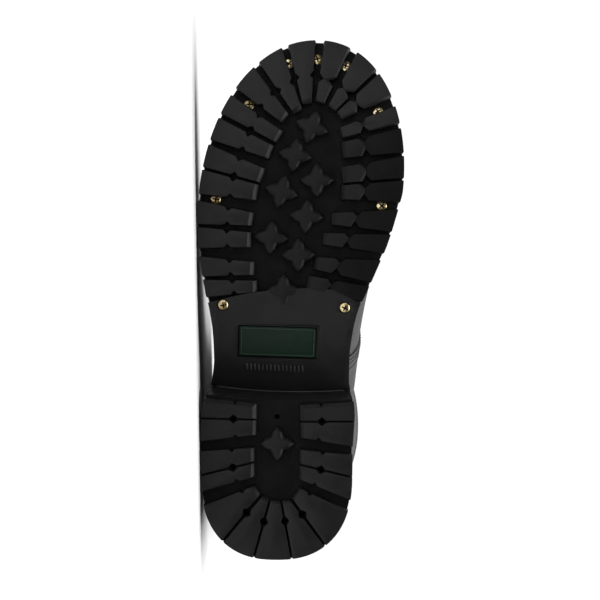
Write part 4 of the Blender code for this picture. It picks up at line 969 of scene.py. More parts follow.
HEEL_TIP, HEEL_ROOT = level(0.0), level(LUG_DEPTH + 1.0)
HEEL_VEE_DEPTH, HEEL_VEE_HALF = 1.9, 1.7


def line_into(start, end, centre):
    """Unit vectors along a line, and square to it towards the block's centre."""
    along = unit(end - start)
    inwards = np.array((-along[1], along[0]))
    return along, -inwards if inwards @ (centre - start) < 0 else inwards


def diamond(start, end, nail, centre):
    """Half a diamond cut around a nail into the line from start to end."""
    along, inwards = line_into(start, end, centre)
    middle = start + along * ((np.asarray(nail, float) - start) @ along)
    return [middle - along * DIAMOND, middle + inwards * (DIAMOND - SLIT / 2),
            middle + along * DIAMOND]


def heel_vee(start, end, nail, centre):
    """V cut into the line from start to end, level with a nail."""
    along, inwards = line_into(start, end, centre)
    share = ((np.asarray(nail, float) - start) @ along) / np.linalg.norm(end - start)
    return vee(start, end, share, inwards, HEEL_VEE_DEPTH, HEEL_VEE_HALF)


def heel_block(arc, near, far, far_cut=None, near_cut=None, front=False):
    """Block between an arc of the heel's edge and two inner corners, near and far.

    A cut is (diamond or heel_vee, nail), for the side from the arc to that corner."""
    near, far = np.asarray(near, float), np.asarray(far, float)
    centre = (arc[0] + arc[-1] + near + far) / 4
    far_line = far_cut[0](arc[-1], far, far_cut[1], centre) if far_cut else []
    near_line = near_cut[0](near, arc[0], near_cut[1], centre) if near_cut else []
    outline = arc + far_line + [far, near] + near_line
    end_side = len(arc) + len(far_line)
    drafts = [0.0] * (len(arc) - 1) + [SIDE_DRAFT] * (len(far_line) + 1) + [END_DRAFT]
    drafts += [SIDE_DRAFT] * (len(near_line) + 1)
    sloped = [end_side] + ([end_side + 1, len(outline) - 1] if front else [])
    return block(outline, drafts, HEEL_TIP, HEEL_ROOT,
                 chamfers=[(side, HEEL_CHAMFER) for side in sloped])


def heel_arc(side, start, end, step=2.5):
    """Points on the heel's edge between two distances from its back."""
    steps = max(2, round(abs(end - start) / step))
    return [edge_point(place, side, "heel") for place in np.linspace(start, end, steps + 1)]


def slit_ends(side, row, nail):
    """Where a side block's slit meets the edge (as a distance) and the inner end (as a point)."""
    inner = (np.array(row[2:4]) + np.array(row[4:6])) / 2
    along = np.asarray(nail) - inner
    places = np.linspace(row[0], row[1], 200)
    points = np.array([edge_point(place, side, "heel") for place in places])
    apart = np.abs((points - inner) @ np.array((-along[1], along[0])))
    return places[apart.argmin()], inner


def nail_hole(spot):
    """Straight hole in the heel lift around a nail, for cutting."""
    return moved(prism(circle(NAIL_HOLE, 20), 2.0, 14.0), Matrix.Translation((*spot, 0.0)))


def side_blocks(side, table):
    """The two front blocks of one side, each split by its slit."""
    shapes = []
    for number, (row, nail) in enumerate(zip(table[:2], SIDE_NAILS[side])):
        start, end, near, far = row[0], row[1], np.array(row[2:4]), np.array(row[4:6])
        middle, inner = slit_ends(side, row, nail)
        half = unit(far - near) * SLIT / 2
        shapes.append(heel_block(heel_arc(side, start, middle + SLIT / 2), near, inner - half,
                                 (diamond, nail), (heel_vee, nail), number == 0))
        shapes.append(heel_block(heel_arc(side, middle - SLIT / 2, end), inner + half, far,
                                 (heel_vee, nail), (diamond, nail)))
        filler = heel_block(heel_arc(side, middle + FILLER_HALF, middle - FILLER_HALF),
                            inner - half * 5, inner + half * 5)
        filler[0][:, 2] += FILLER_DEPTH
        shapes.append(cut_away(filler, nail_hole(nail)))
    return shapes


def back_blocks():
    """The fan of five blocks around the back of the heel, split by four slits."""
    shapes = []
    for side, table in ((-1, HEEL_OUTER_LUGS), (1, HEEL_INNER_LUGS)):
        nails = BACK_NAILS[side]
        for row, near_cut, far_nail in (
                (table[2], (heel_vee, SIDE_NAILS[side][1]), nails[0]),
                (table[3], (diamond, nails[0]), nails[1])):
            shapes.append(heel_block(heel_arc(side, *row[:2]), row[2:4], row[4:6],
                                     (diamond, far_nail), near_cut))
    start, end, *corners = HEEL_BACK_LUG
    arc = [edge_point(place, -1, "heel") for place in np.linspace(start, 0, 5)]
    arc += [edge_point(place, 1, "heel") for place in np.linspace(0, end, 5)[1:]]
    shapes.append(heel_block(arc, corners[:2], corners[2:], (diamond, BACK_NAILS[1][1]),
                             (diamond, BACK_NAILS[-1][1])))
    return shapes


# %% Heel lift, heel layers and midsole
FRONT_START, FRONT_HALF = 72.0, 44.0          # the heel's front part in plan
LIFT_INSET, LAYER_INSET, LAYER_STAGGER, LAYER_COUNT, LAYERS_HIGH = 0.6, 0.8, 0.12, 4, 19.0


def heel_grid(inset, height, columns=13, rows=10):
    """Grid of the heel in plan, up to its hollow front face at a height."""
    grid = rungs(stations(0, FRONT_START, inset), inset, columns)
    extra = np.zeros((rows, columns, 2))
    for j, side in enumerate(np.linspace(-1, 1, columns)):
        x, y = grid[-1, j]
        xs = x + (breast(side * FRONT_HALF, height) - x) * np.arange(1, rows + 1) / rows
        extra[:, j, 0] = xs
        extra[:, j, 1] = y if abs(side) < 0.01 else part_way(xs, side, inset)
    return np.concatenate((grid, extra))


def make_heel_lift():
    """Rubber lift: floor, blocks, star and nail holes."""
    floor = softened(plate(heel_grid(LIFT_INSET, LUG_DEPTH), level(LUG_DEPTH), level(HEEL_LIFT),
                           heel_grid(LIFT_INSET, HEEL_LIFT)), 0.7)
    spots = [spot for side in SIDES for spot in SIDE_NAILS[side] + BACK_NAILS[side]]
    floor = cut_away(floor, joined(*(nail_hole(spot) for spot in spots + [CHANNEL_NAIL])))
    # the heel's floor between the blocks is in darker rubber as painted shade
    boot_piece("heel_lift_floor", *floor, GROOVE_SHADE_RUBBER, ("heel_lift",), "sole_rubber")
    blocks = side_blocks(-1, HEEL_OUTER_LUGS) + side_blocks(1, HEEL_INNER_LUGS) + back_blocks()
    blocks.append(star(*HEEL_STAR, 0, level(0.6), HEEL_ROOT))
    boot_piece("heel_blocks", *joined(*blocks), HEEL_RUBBER, ("heel_lift",), "sole_rubber")


def make_heel_layers():
    """Stacked heel: thin layers, each following the heel seat a little more than the one below."""
    low_z = HEEL_LIFT + GAP / 2
    shapes = []
    for k in range(LAYER_COUNT):
        heights, grids = [], []
        inset = LAYER_INSET + LAYER_STAGGER * (k % 2)
        for share in (k / LAYER_COUNT, (k + 1) / LAYER_COUNT):
            heights.append(lambda x, share=share: low_z + (
                rise(x) + LUG_DEPTH - 0.1 - low_z) * share)
            grids.append(heel_grid(inset, low_z + LAYERS_HIGH * share))
        shapes.append(softened(plate(grids[0], *heights, grids[1]), 0.3))
    return joined(*shapes)


make_heel_lift()
boot_piece("heel_layers", *make_heel_layers(), HEEL_LAYERS, ("heel_stack",), "heel_stack")
midsole = soft_plate(0, LENGTH, 0.7, above(SLAB), above(SLAB + GAP + MIDSOLE))
boot_piece("midsole_layer", *midsole, EDGE_INK, ("midsole",), "edge_leather")

# %% [markdown]
# ## Things set on points: screws, nails and eyelets
# Nine brass screws, eighteen eyelets and nine nails are the same shape at many places. Copied
# objects would do for a few, but one small Geometry Nodes tree serves them all: it sets a shape on
# every point of a mesh and turns it along the point's own direction. It ends in Realize Instances
# and Set Material, so the result is a plain mesh.

# %% A Geometry Nodes tree that sets a shape on points
def new_tree(name, sizes):
    """Empty Geometry Nodes tree with named inputs; returns it with its two end nodes."""
    tree = bpy.data.node_groups.new(name, "GeometryNodeTree")
    tree.interface.new_socket("Geometry", in_out="INPUT", socket_type="NodeSocketGeometry")
    for label, kind in sizes:
        tree.interface.new_socket(label, in_out="INPUT", socket_type=kind)
    tree.interface.new_socket("Geometry", in_out="OUTPUT", socket_type="NodeSocketGeometry")
    return tree, tree.nodes.new("NodeGroupInput"), tree.nodes.new("NodeGroupOutput")


def ended_tree(tree, placed, start, end):
    """Make the placed instances real, give them the tree's material and end the tree."""
    real = add_node(tree, "GeometryNodeRealizeInstances", {"Geometry": placed.outputs["Instances"]})
    covered = add_node(tree, "GeometryNodeSetMaterial", {
        "Geometry": real.outputs["Geometry"], "Material": start.outputs["Material"]})
    tree.links.new(covered.outputs["Geometry"], end.inputs["Geometry"])
    return tree


def set_shape_tree():
    """Sets a shape on every point, its z along the attribute "out" and its x near "along"."""
    tree, start, end = new_tree("set_on_points", (
        ("Shape", "NodeSocketObject"), ("Material", "NodeSocketMaterial")))
    shape = add_node(tree, "GeometryNodeObjectInfo", {"Object": start.outputs["Shape"]})
    named = [add_node(tree, "GeometryNodeInputNamedAttribute", {"Name": name},
                      data_type="FLOAT_VECTOR").outputs["Attribute"] for name in ("out", "along")]
    upwards = add_node(tree, "FunctionNodeAlignRotationToVector", {"Vector": named[0]}, axis="Z")
    aimed = add_node(tree, "FunctionNodeAlignRotationToVector", {
        "Rotation": upwards.outputs["Rotation"], "Vector": named[1]}, axis="X", pivot_axis="Z")
    placed = add_node(tree, "GeometryNodeInstanceOnPoints", {
        "Points": start.outputs["Geometry"], "Instance": shape.outputs["Geometry"],
        "Rotation": aimed.outputs["Rotation"]})
    return ended_tree(tree, placed, start, end)


def grown_mesh(name, base, tree, values):
    """Mesh that a Geometry Nodes tree makes from a base mesh, with its inputs set by name."""
    guide = new_object(name + "_guide", base)
    modifier = guide.modifiers.new("grow", "NODES")
    modifier.node_group = tree
    for item in tree.interface.items_tree:
        if item.in_out == "INPUT" and item.name in values:
            modifier[item.identifier] = values[item.name]
    mesh = modified_mesh(guide)
    mesh.name = name
    return mesh


SET_ON_POINTS = set_shape_tree()


def set_on_points(name, shape, places, material, stands_for=(), angle=38):
    """One mesh with a shape, in millimetres, at every (point, out, along) of the standing boot."""
    model = new_object(name + "_shape",
                       new_mesh(name + "_shape", np.asarray(shape[0]) * MM, shape[1]))
    base = new_mesh(name + "_points", lay([place[0] for place in places]))
    for index, label in ((1, "out"), (2, "along")):
        attribute = base.attributes.new(label, "FLOAT_VECTOR", "POINT")
        turned = np.array([place[index] for place in places]) @ np.array(axes).T
        attribute.data.foreach_set("vector", turned.astype(np.float32).ravel())
    made = grown_mesh(name, base, SET_ON_POINTS, {"Shape": model, "Material": material})
    bpy.data.objects.remove(model, do_unlink=True)
    return add_to_boot(name, made, stands_for, angle)


def turned_solid(profile, sides):
    """Closed solid that a profile of (radius, height) sweeps around z."""
    points, rings = [], []
    for radius, height in profile:
        if radius == 0:
            rings.append([len(points)] * sides)
            points.append((0, 0, height))
            continue
        rings.append(list(range(len(points), len(points) + sides)))
        points += [(x, y, height) for x, y in circle(radius, sides)]
    faces = [(upper[k - 1], upper[k], lower[k], lower[k - 1])
             for upper, lower in zip(rings, rings[1:]) for k in range(sides)]
    return taken(cleaned(points, faces, 0.001))


# %% Screws with a cross
CROSS_TURN = 37.0                 # every screw stopped at another angle


def screw_shape():
    """Domed head with a cross cut into it, and a stem below."""
    radius = SCREW_HEAD / 2
    dome = [(radius * math.sin(angle), 0.35 + 1.15 * math.cos(angle))
            for angle in np.linspace(0, math.pi / 2, 7)]
    dome[0] = (0, dome[0][1])
    profile = dome + [(radius * 0.97, 0.0), (1.5, 0.0), (1.4, -2.4), (0, -2.4)]
    head = turned_solid(profile, 32)
    cross = [np.array(((1.95, 0.36), (0.5, 0.5), (0.36, 1.95)))]
    for _ in range(3):
        cross.append(cross[-1] @ ((0, 1), (-1, 0)))           # a quarter turn
    outline = np.concatenate(cross)
    head = cut_away(head, prism(outline, 0.6, 3.0))
    # the second shape is a dark fill at the bottom of the cross, painted shade
    return softened(head, 0.07, 50, 1, 0.001), prism(outline * 0.97, 0.6, 1.0)


def make_screws():
    head, cross_shade = screw_shape()
    places = []
    for number, (x, y) in enumerate(SCREWS):
        centre, out = on_underside(x, y, screw_depth(number))
        angle = math.radians(CROSS_TURN * number)
        places.append((centre, out, (math.cos(angle), math.sin(angle), 0.0)))
    names = [f"screw_{n}" for n in range(1, len(SCREWS) + 1)]
    set_on_points("brass_screws", head, places, SCREW_BRASS, names)
    # the dark fill in each cross is painted shade
    set_on_points("screw_grime", cross_shade, places, SHADED_STEEL)


# %% Nails of the heel
NAIL_SUNK = 3.0


def make_nails():
    """Sunk nails in the slits, each in a small collar of rubber, and one in the channel."""
    collar = turned_solid(((1.95, 0.0), (1.95, 0.4), (1.75, 0.6), (NAIL_HOLE, 0.6),
                           (NAIL_HOLE, 0.0), (1.95, 0.0)), 20)
    nail = turned_solid(((0, 0.3), (0.7, 0.25), (0.9, 0.1), (0.9, -0.3), (0, -0.3)), 16)
    down, along = (0, 0, -1), (1, 0, 0)
    places = [((*spot, depth + 0.1), down, along)
              for nails, depth in ((SIDE_NAILS, FILLER_DEPTH), (BACK_NAILS, LUG_DEPTH))
              for side in SIDES for spot in nails[side]]
    # the collars are in darker rubber as painted shade in the nail pits
    set_on_points("nail_collars", collar, places, GROOVE_SHADE_RUBBER, ("heel_lift",))
    places.append(((*CHANNEL_NAIL, LUG_DEPTH), down, along))
    sunk = [((x, y, depth + NAIL_SUNK), *way) for (x, y, depth), *way in places]
    # the nails are near-black steel as painted shade in their pits
    set_on_points("heel_nails", nail, sunk, SHADED_STEEL)


make_screws()
make_nails()

# %% [markdown]
# ## The plate on the shank
# A nameless green plate is let into the shank. Around it runs a thin raised rim, and the plate
# has a fine raised line just inside its own edge. Both could be bevelled curves, but a ring
# between two rounded rectangles keeps its corners crisp and its faces few. A row of plain ribs
# behind the plate fills the place where soles of this kind have words.

# %% Plate, rim and ribs
def ring(outer, inner, low, high):
    """Flat ring between two outlines of equal length, from low to high."""
    count = len(outer)
    faces = [face for k in range(4) for face in band(k * count, (k + 1) % 4 * count, count)]
    return raised((outer, low), (outer, high), (inner, high), (inner, low)), faces


def plate_outline(more, radius):
    """Outline of the plate's size and more, with round corners."""
    return rounded_rectangle(PLATE_LENGTH + more, PLATE_WIDTH + more, radius)


def make_plate():
    for name, shape, soft, finish, node, slot in (
            ("green_plate", prism(plate_outline(-1.0, 1.0), 0.45, 2.2), 0.25, GREEN_ENAMEL,
             "label_plate", "green_plate"),
            # the raised line is in lighter green as a painted highlight
            ("plate_line", ring(plate_outline(-2.8, 0.9), plate_outline(-3.7, 0.6), 0.1, 0.7), 0.14,
             HIGHLIGHT_GREEN, "label_plate", "green_plate"),
            ("plate_rim", ring(plate_outline(1.0 + 2 * FRAME_RIM, 1.6), plate_outline(1.1, 0.8),
                               -0.25, 0.6), 0.25, TREAD_RUBBER, "outsole", "sole_rubber")):
        boot_piece(name, *moved(softened(shape, soft), plate_matrix()), finish, (node,), slot)


RIB_PLACE, RIB_COUNT, RIB_SPACING, RIB_SLOPE = (112.3, -2.0), 15, 2.35, 0.044


def make_ribs():
    """Row of short plain ribs, moulded low on the shank."""
    rib = softened(prism(rounded_rectangle(4.2, 1.0, 0.4, 2), -0.3, 1.0), 0.3)
    places = []
    for k in range(RIB_COUNT):
        along = (k - (RIB_COUNT - 1) / 2) * RIB_SPACING
        place = RIB_PLACE[0] - RIB_SLOPE * along, RIB_PLACE[1] + along
        centre, out = on_underside(*place, SHANK_DROP - 0.05)
        places.append((centre, out, (1.0, -RIB_SLOPE, 0.0)))
    set_on_points("moulded_ribs", rib, places, PALE_HIGHLIGHT_RUBBER, ("outsole",))


make_plate()
make_ribs()

# %% [markdown]
# ## The skin of the upper
# The leather follows the foot: a fan of sections runs from the toe, over the instep and up the
# shaft. Each row of the table gives where a section stands, where it tops out, how far it bulges
# to each side and how round it is. The upper could be sculpted, but a table can be measured and
# changed. From it comes one fine grid of points for each side, and every leather panel is cut out
# of this grid, so neighbours always fit.

# %% Sections of the upper
# Columns: low x, low above seat, top x, top z, outer y, inner y, ridge y, widest, roundness.
SECTIONS = np.array((
    (297.5, 0, 297.5, 27.8, 22.0, 22.0, 22.0, 0.30, 0.85),
    (297.0, 0, 297.1, 38.4, 14.6, 29.4, 22.0, 0.30, 0.85),
    (295.5, 0, 295.5, 46.2, 8.0, 35.8, 21.9, 0.30, 0.85),
    (291.0, 0, 290.8, 56.0, -3.0, 45.8, 21.5, 0.30, 0.85),
    (283.0, 0, 282.4, 63.4, -14.2, 55.0, 21.0, 0.30, 0.86),
    (270.0, 0, 268.4, 68.2, -25.2, 63.2, 20.4, 0.30, 0.88),
    (252.0, 0, 249.0, 72.0, -34.6, 68.6, 19.5, 0.31, 0.92),
    (232.0, 0, 227.0, 79.0, -40.8, 70.4, 18.5, 0.32, 0.96),
    (212.0, 0, 205.5, 90.5, -43.8, 69.0, 17.0, 0.32, 1.02),
    (190.0, 0, 187.0, 103.5, -44.2, 64.4, 15.0, 0.33, 1.10),
    (165.0, 0, 172.5, 116.0, -42.6, 57.6, 12.5, 0.35, 1.14),
    (140.0, 0, 162.0, 127.0, -41.0, 53.4, 10.0, 0.38, 1.12),
    (112.0, 0, 155.0, 136.0, -40.0, 50.4, 8.0, 0.42, 1.08),
    (80.0, 0, 150.0, 143.5, -39.6, 47.4, 6.5, 0.46, 1.04),
    (47.0, 0, 148.0, 147.5, -39.4, 45.2, 5.7, 0.50, 1.01),
    (24.0, 0, 146.6, 150.5, -39.3, 44.0, 5.2, 0.52, 0.99),
    (11.5, 0, 145.6, 153.0, -39.2, 43.2, 4.9, 0.53, 0.98),
    (7.2, 0, 144.8, 155.5, -39.2, 42.7, 4.6, 0.54, 0.97),
    (6.0, 0, 143.9, 158.5, -39.2, 42.4, 4.4, 0.54, 0.97),
    (5.3, 4, 143.1, 161.5, -39.3, 42.3, 4.2, 0.54, 0.96),
    (2.8, 16, 142.1, 165.5, -39.4, 42.3, 4.1, 0.53, 0.96),
    (1.8, 30, 141.2, 170.0, -39.6, 42.4, 3.9, 0.53, 0.96),
    (3.4, 46, 140.2, 175.5, -39.9, 42.6, 3.8, 0.52, 0.96),
    (7.4, 67, 138.1, 187.0, -40.6, 43.4, 3.5, 0.51, 0.95),
    (10.6, 92, 136.2, 201.0, -41.7, 44.7, 3.2, 0.50, 0.95),
    (11.0, 120, 134.6, 217.0, -43.2, 46.6, 3.0, 0.50, 0.94),
    (8.4, 150, 133.2, 236.0, -44.8, 49.0, 2.8, 0.50, 0.94),
    (4.4, 185, 132.1, 256.0, -46.4, 51.0, 2.7, 0.50, 0.93),
    (0.0, SHAFT_TOP - 51.6, 131.0, SHAFT_TOP + 2.0, -47.6, 52.6, 2.6, 0.50, 0.93),
    (-1.0, SHAFT_TOP - 37.0, 130.5, SHAFT_TOP + 16.0, -48.0, 53.0, 2.6, 0.50, 0.93)))
COLLAR_ROW, THROAT_ROW, THROAT_LENGTH, SLIT_HALF = 28, 8, 3.0, 12.0
WELT_WIDTH = np.array((
    # x, outer side, inner side
    (0, 6.0, 6.0), (60, 5.5, 5.0), (95, 4.0, 2.5), (119, 2.6, 2.2), (147, 3.0, 3.2),
    (171, 4.6, 4.8), (215, 5.8, 5.8), (304, 6.5, 6.5)))


def section(row):
    """All the values of the section at a row, whole or between two rows."""
    rows = range(len(SECTIONS))
    return [float(curve_value(rows, column, row)) for column in SECTIONS.T]


def feather(x, side):
    """Edge of the upper where it meets the sole."""
    width = curve_value(WELT_WIDTH[:, 0], WELT_WIDTH[:, 1 if side < 0 else 2], x)
    return float(edge(x, side, width))


def slit_half(row):
    """Half width of the open throat."""
    opened = min(max((row - THROAT_ROW) / THROAT_LENGTH, 0.0), 1.0)
    return SLIT_HALF * math.sqrt(opened * (2 - opened))


class Section:
    """One section of the upper, ready to give points on either side."""

    def __init__(self, row):
        (self.low_x, low_up, self.top_x, self.top_z, outer, inner, self.ridge, self.widest,
         self.power) = section(row)
        self.low_z = float(seat(self.low_x)) + low_up
        self.half, self.middle = (inner - outer) / 2, (inner + outer) / 2
        self.foot_middle, foot_half = HEEL_SWING, 0.0
        if low_up < 0.01:
            inner_foot, outer_foot = feather(self.low_x, 1), feather(self.low_x, -1)
            foot_half = (inner_foot - outer_foot) / 2
            self.foot_middle = (inner_foot + outer_foot) / 2
        share = min(foot_half / self.half, 0.995) if self.half > 0.01 else 0.995
        self.start = -math.acos(share ** (1 / self.power))

    def points(self, angles, side):
        """Points at angles: below the widest place under 0, on the ridge at pi / 2."""
        angles = np.asarray(angles, float)
        up = angles >= 0
        share = np.abs(np.sin(angles)) / np.where(up, 1.0, math.sin(-self.start))
        along = np.where(up, self.widest + (1 - self.widest) * share**self.power,
                         self.widest * (1 - share**self.power))
        towards = np.where(up, self.ridge, self.foot_middle) - self.middle
        across = self.middle + towards * share**2
        across = across + side * self.half * np.maximum(np.cos(angles), 0.0) ** self.power
        x = self.low_x + (self.top_x - self.low_x) * along
        return np.stack([x, across, self.low_z + (self.top_z - self.low_z) * along], -1)

    def angle_out(self, out):
        """Angle above the widest place where the half width is out."""
        return math.acos(min(max(out, 0.0) / max(self.half, 1e-6), 0.995) ** (1 / self.power))

    def angles(self, side, shares, slit):
        """Angles at shares of the girth, from the sole or the back to the throat's edge."""
        end = self.angle_out(slit) if slit > 0 else math.pi / 2
        if self.half < 0.01:
            return self.start + (end - self.start) * np.asarray(shares)
        steps = np.linspace(self.start, end, 161)
        girth = reached(self.points(steps, side))
        return np.interp(np.asarray(shares) * girth[-1], girth, steps)


print("sections:", len(SECTIONS), "width at the ball:",
      round(section(8)[5] - section(8)[4], 1), "mm")

# %% [markdown]
# ## Grid of the skin, with its creases
# Even a new boot shows soft folds where the leather was pulled over the last: across the front
# above the ball, and around the ankle. Noise would scatter them anywhere, but leather folds where
# the foot bends. So each is a shallow trough with a low ridge beside it, placed one by one on a row
# of the skin and fading out along it.

# %% The grid of the skin
ROWS = np.arange(COLLAR_ROW * 7 + 1) / 7
before, beyond = ROWS < THROAT_ROW - 0.2, ROWS > THROAT_ROW + 1.8
finer = ROWS[~before & ~beyond]                 # around the foot of the throat
ROWS = np.concatenate((ROWS[before], np.linspace(finer[0], finer[-1], 50), ROWS[beyond]))
SHARES = np.linspace(0, 1, 57) ** 1.15
CREASES = (
    # row at the ridge, row at the sole, from share, to share, depth, width in mm
    (8.3, 7.4, 0.30, 1.00, 0.9, 5.0), (7.6, 6.9, 0.45, 1.00, 0.6, 4.5),
    (9.2, 8.3, 0.20, 0.78, 0.8, 5.5), (6.9, 6.5, 0.55, 1.00, 0.4, 4.0),
    (13.2, 15.4, 0.45, 0.85, 0.9, 6.0), (16.5, 20.0, 0.30, 0.86, 1.2, 6.5),
    (20.5, 22.5, 0.22, 0.84, 1.0, 6.5), (22.3, 24.4, 0.25, 0.80, 0.7, 6.0))


def skin_grid():
    """Points of both sides, and their half widths above the widest place."""
    points = np.zeros((2, len(ROWS), len(SHARES), 3))
    outs = np.full((2, len(ROWS), len(SHARES)), 99.0)
    for i, row in enumerate(ROWS):
        own = Section(row)
        for s, side in enumerate(SIDES):
            angles = own.angles(side, SHARES, slit_half(row))
            points[s, i] = own.points(angles, side)
            high = angles >= 0
            outs[s, i, high] = own.half * np.maximum(np.cos(angles[high]), 0) ** own.power
    return points, outs


def grid_normals(points):
    """Normals of the grid, made equal where the two sides meet."""
    normals = unit(np.cross(np.gradient(points, axis=1), np.gradient(points, axis=2)))
    for s, side in enumerate(SIDES):
        if normals[s, len(ROWS) // 3, len(SHARES) // 3, 1] * side < 0:
            normals[s] *= -1
    meets = np.linalg.norm(points[0] - points[1], axis=2) < 0.05
    normals[:, meets] = unit(normals[0][meets] + normals[1][meets])
    return normals


def crease_depth(points):
    """How far each point of the grid sinks or rises in the creases."""
    moved_out = np.zeros(points.shape[:3])
    spacing = np.linalg.norm(np.gradient(points, axis=1), axis=3)
    spacing /= np.gradient(ROWS)[None, :, None]
    for top_row, low_row, from_share, to_share, depth, width in CREASES:
        line = low_row + (top_row - low_row) * SHARES
        apart = (ROWS[:, None] - line[None, :])[None] * np.maximum(spacing, 1.0) / width
        middle, half = (from_share + to_share) / 2, (to_share - from_share) / 2
        inside = np.clip(1 - np.abs(SHARES - middle) / half, 0, 1)
        if to_share >= 1.0:
            inside = np.clip((SHARES - from_share) / (1 - from_share), 0, 1)
        fade = inside**2 * (3 - 2 * inside)
        moved_out += fade * depth * (0.7 * np.exp(-(apart - 1.6) ** 2) - np.exp(-apart**2))
    return moved_out


SKIN_POINTS, SKIN_OUTS = skin_grid()
SKIN_NORMALS = grid_normals(SKIN_POINTS)
SKIN_POINTS = SKIN_POINTS + SKIN_NORMALS * crease_depth(SKIN_POINTS)[..., None]
SKIN_NORMALS = grid_normals(SKIN_POINTS)
GRID_ROWS = np.broadcast_to(ROWS[None, :, None], SKIN_OUTS.shape)
GRID_SHARES = np.broadcast_to(SHARES[None, None, :], SKIN_OUTS.shape)
print("skin grid:", SKIN_OUTS.shape, "height", round(float(SKIN_POINTS[..., 2].max()), 1), "mm")

# %% [markdown]
# ## Panels cut from the skin
# The upper is sewn from panels that overlap: vamp, quarters, counter, backstay and facings. A
# panel could be drawn alone and wrapped on, but it would not lie close. Here it is the part of the
# skin where some measure is above zero, such as the distance inside its outline. Faces that cross
# zero are clipped there, so every edge is clean. The panel is then given its thickness, with its
# rim set a little lower, as skived leather is.

# %% Cutting a panel
def grid_quads():
    """Corner indices of the grid's faces, turned so that they face outwards."""
    rows, columns = len(ROWS), len(SHARES)
    i, j = np.meshgrid(np.arange(rows - 1), np.arange(columns - 1), indexing="ij")
    first = (i * columns + j).ravel()
    corners = np.stack([first, first + 1, first + columns + 1, first + columns], 1)
    return [corners[:, ::-1], corners + rows * columns]


def clipped(keep):
    """Points, normals and faces of the skin where keep > 0."""
    values = keep.ravel()
    points, normals = list(SKIN_POINTS.reshape(-1, 3)), list(SKIN_NORMALS.reshape(-1, 3))
    crossings, faces = {}, []

    def crossing(a, b):
        key = (min(a, b), max(a, b))
        if key not in crossings:
            share = values[key[0]] / (values[key[0]] - values[key[1]])
            crossings[key] = len(points)
            points.append(points[key[0]] * (1 - share) + points[key[1]] * share)
            normals.append(normals[key[0]] * (1 - share) + normals[key[1]] * share)
        return crossings[key]

    for quads in grid_quads():
        inside = values[quads] > 0
        faces += quads[inside.all(1)].tolist()
        for corners in quads[inside.any(1) & ~inside.all(1)]:
            face = []
            for a, b in zip(corners, np.roll(corners, -1)):
                if values[a] > 0:
                    face.append(int(a))
                if (values[a] > 0) != (values[b] > 0):
                    face.append(crossing(int(a), int(b)))
            faces.append(face)
    return np.array(points), np.array(normals), faces


def merged(points, normals, faces, step=0.03):
    """The same faces with doubled points made one and unused points left out."""
    keys, owners, places = {}, {}, []
    for index in sorted({k for face in faces for k in face}):
        key = tuple(np.round(points[index] / step).astype(int))
        if key not in keys:
            keys[key] = len(places)
            places.append(index)
        owners[index] = keys[key]
    kept = []
    for face in faces:
        face = list(dict.fromkeys(owners[k] for k in face))
        if len(face) > 2:
            kept.append(face)
    return points[places], normals[places], kept


def leather(keep, proud, wall, skive=0.3):
    """Closed leather panel where keep > 0: its outside stands proud of the skin."""
    points, normals, faces = merged(*clipped(keep))
    normals = unit(normals)
    used = dict.fromkeys((a, b) for face in faces for a, b in zip(face, face[1:] + face[:1]))
    rim = [(a, b) for a, b in used if (b, a) not in used]
    outside = np.full(len(points), float(proud))
    outside[list({k for pair in rim for k in pair})] -= skive
    count = len(points)
    both = np.concatenate((points + normals * outside[:, None], points + normals * (proud - wall)))
    both_faces = faces + [[k + count for k in face[::-1]] for face in faces]
    both_faces += [[b, a, a + count, b + count] for a, b in rim]
    return both, both_faces


def soft_line(points, rounds=3):
    """Line with its corners cut until it runs smoothly; its ends stay."""
    line = np.asarray(points, float)
    for _ in range(rounds):
        quarter = line[:-1] * 0.75 + line[1:] * 0.25
        three = line[:-1] * 0.25 + line[1:] * 0.75
        line = np.concatenate((line[:1], np.stack([quarter, three], 1).reshape(-1, 2), line[-1:]))
    return line


def inside_by(outline, x, z):
    """Distance of points inside a closed outline, seen from the side; outside it is negative."""
    outline = np.asarray(outline, float)
    nearest = np.full(x.shape, 1e9)
    inside = np.zeros(x.shape, bool)
    for (ax, az), (bx, bz) in zip(outline, np.roll(outline, -1, 0)):
        dx, dz = bx - ax, bz - az
        share = np.clip(((x - ax) * dx + (z - az) * dz) / max(dx * dx + dz * dz, 1e-9), 0, 1)
        nearest = np.minimum(nearest, np.hypot(x - ax - share * dx, z - az - share * dz))
        if az != bz:
            inside ^= ((az > z) != (bz > z)) & (x < (z - az) * dx / dz + ax)
    return np.where(inside, nearest, -nearest)


# %% Panels of the upper
VAMP_EDGE = soft_line(((114, -20), (114, 25), (121, 55), (128, 78), (138, 88), (152, 93), (172, 92),
                       (186, 88), (194, 84.5), (198, 88), (198, 150)))
VAMP = np.concatenate((VAMP_EDGE, ((330, 150), (330, -20))))
COUNTER_EDGE = soft_line(((78, 40), (74, 62), (62, 84), (42, 102), (18, 112), (-12, 114)))
COUNTER = np.concatenate((COUNTER_EDGE, ((-12, 40),)))
COUNTER_TOP = 114.0
FACING_ROW, FACING_WIDTH, OVERLAY, WALL = 8.6, 19.0, 1.5, 3.0
VAMP_DROP, LAP, BACKSTAY_HALF, FACING_FOOT = 1.2, 7.0, 10.0, 2.7

GRID_X, GRID_Y, GRID_Z = (SKIN_POINTS[..., k] for k in range(3))
VAMP_INSIDE, ABOVE_SEAT = inside_by(VAMP, GRID_X, GRID_Z), GRID_Z - seat(GRID_X)


def facing_far(row):
    """Outer edge of a facing as a half width, rounded at its foot."""
    grown = np.clip((np.asarray(row, float) - FACING_ROW) / 1.2, 0.0, 1.0)
    near = np.vectorize(slit_half)(row)
    foot = FACING_FOOT * np.clip(grown / 0.1, 0, 1)
    return near + foot + (FACING_WIDTH - 2.0) * np.sqrt(grown * (2 - grown))


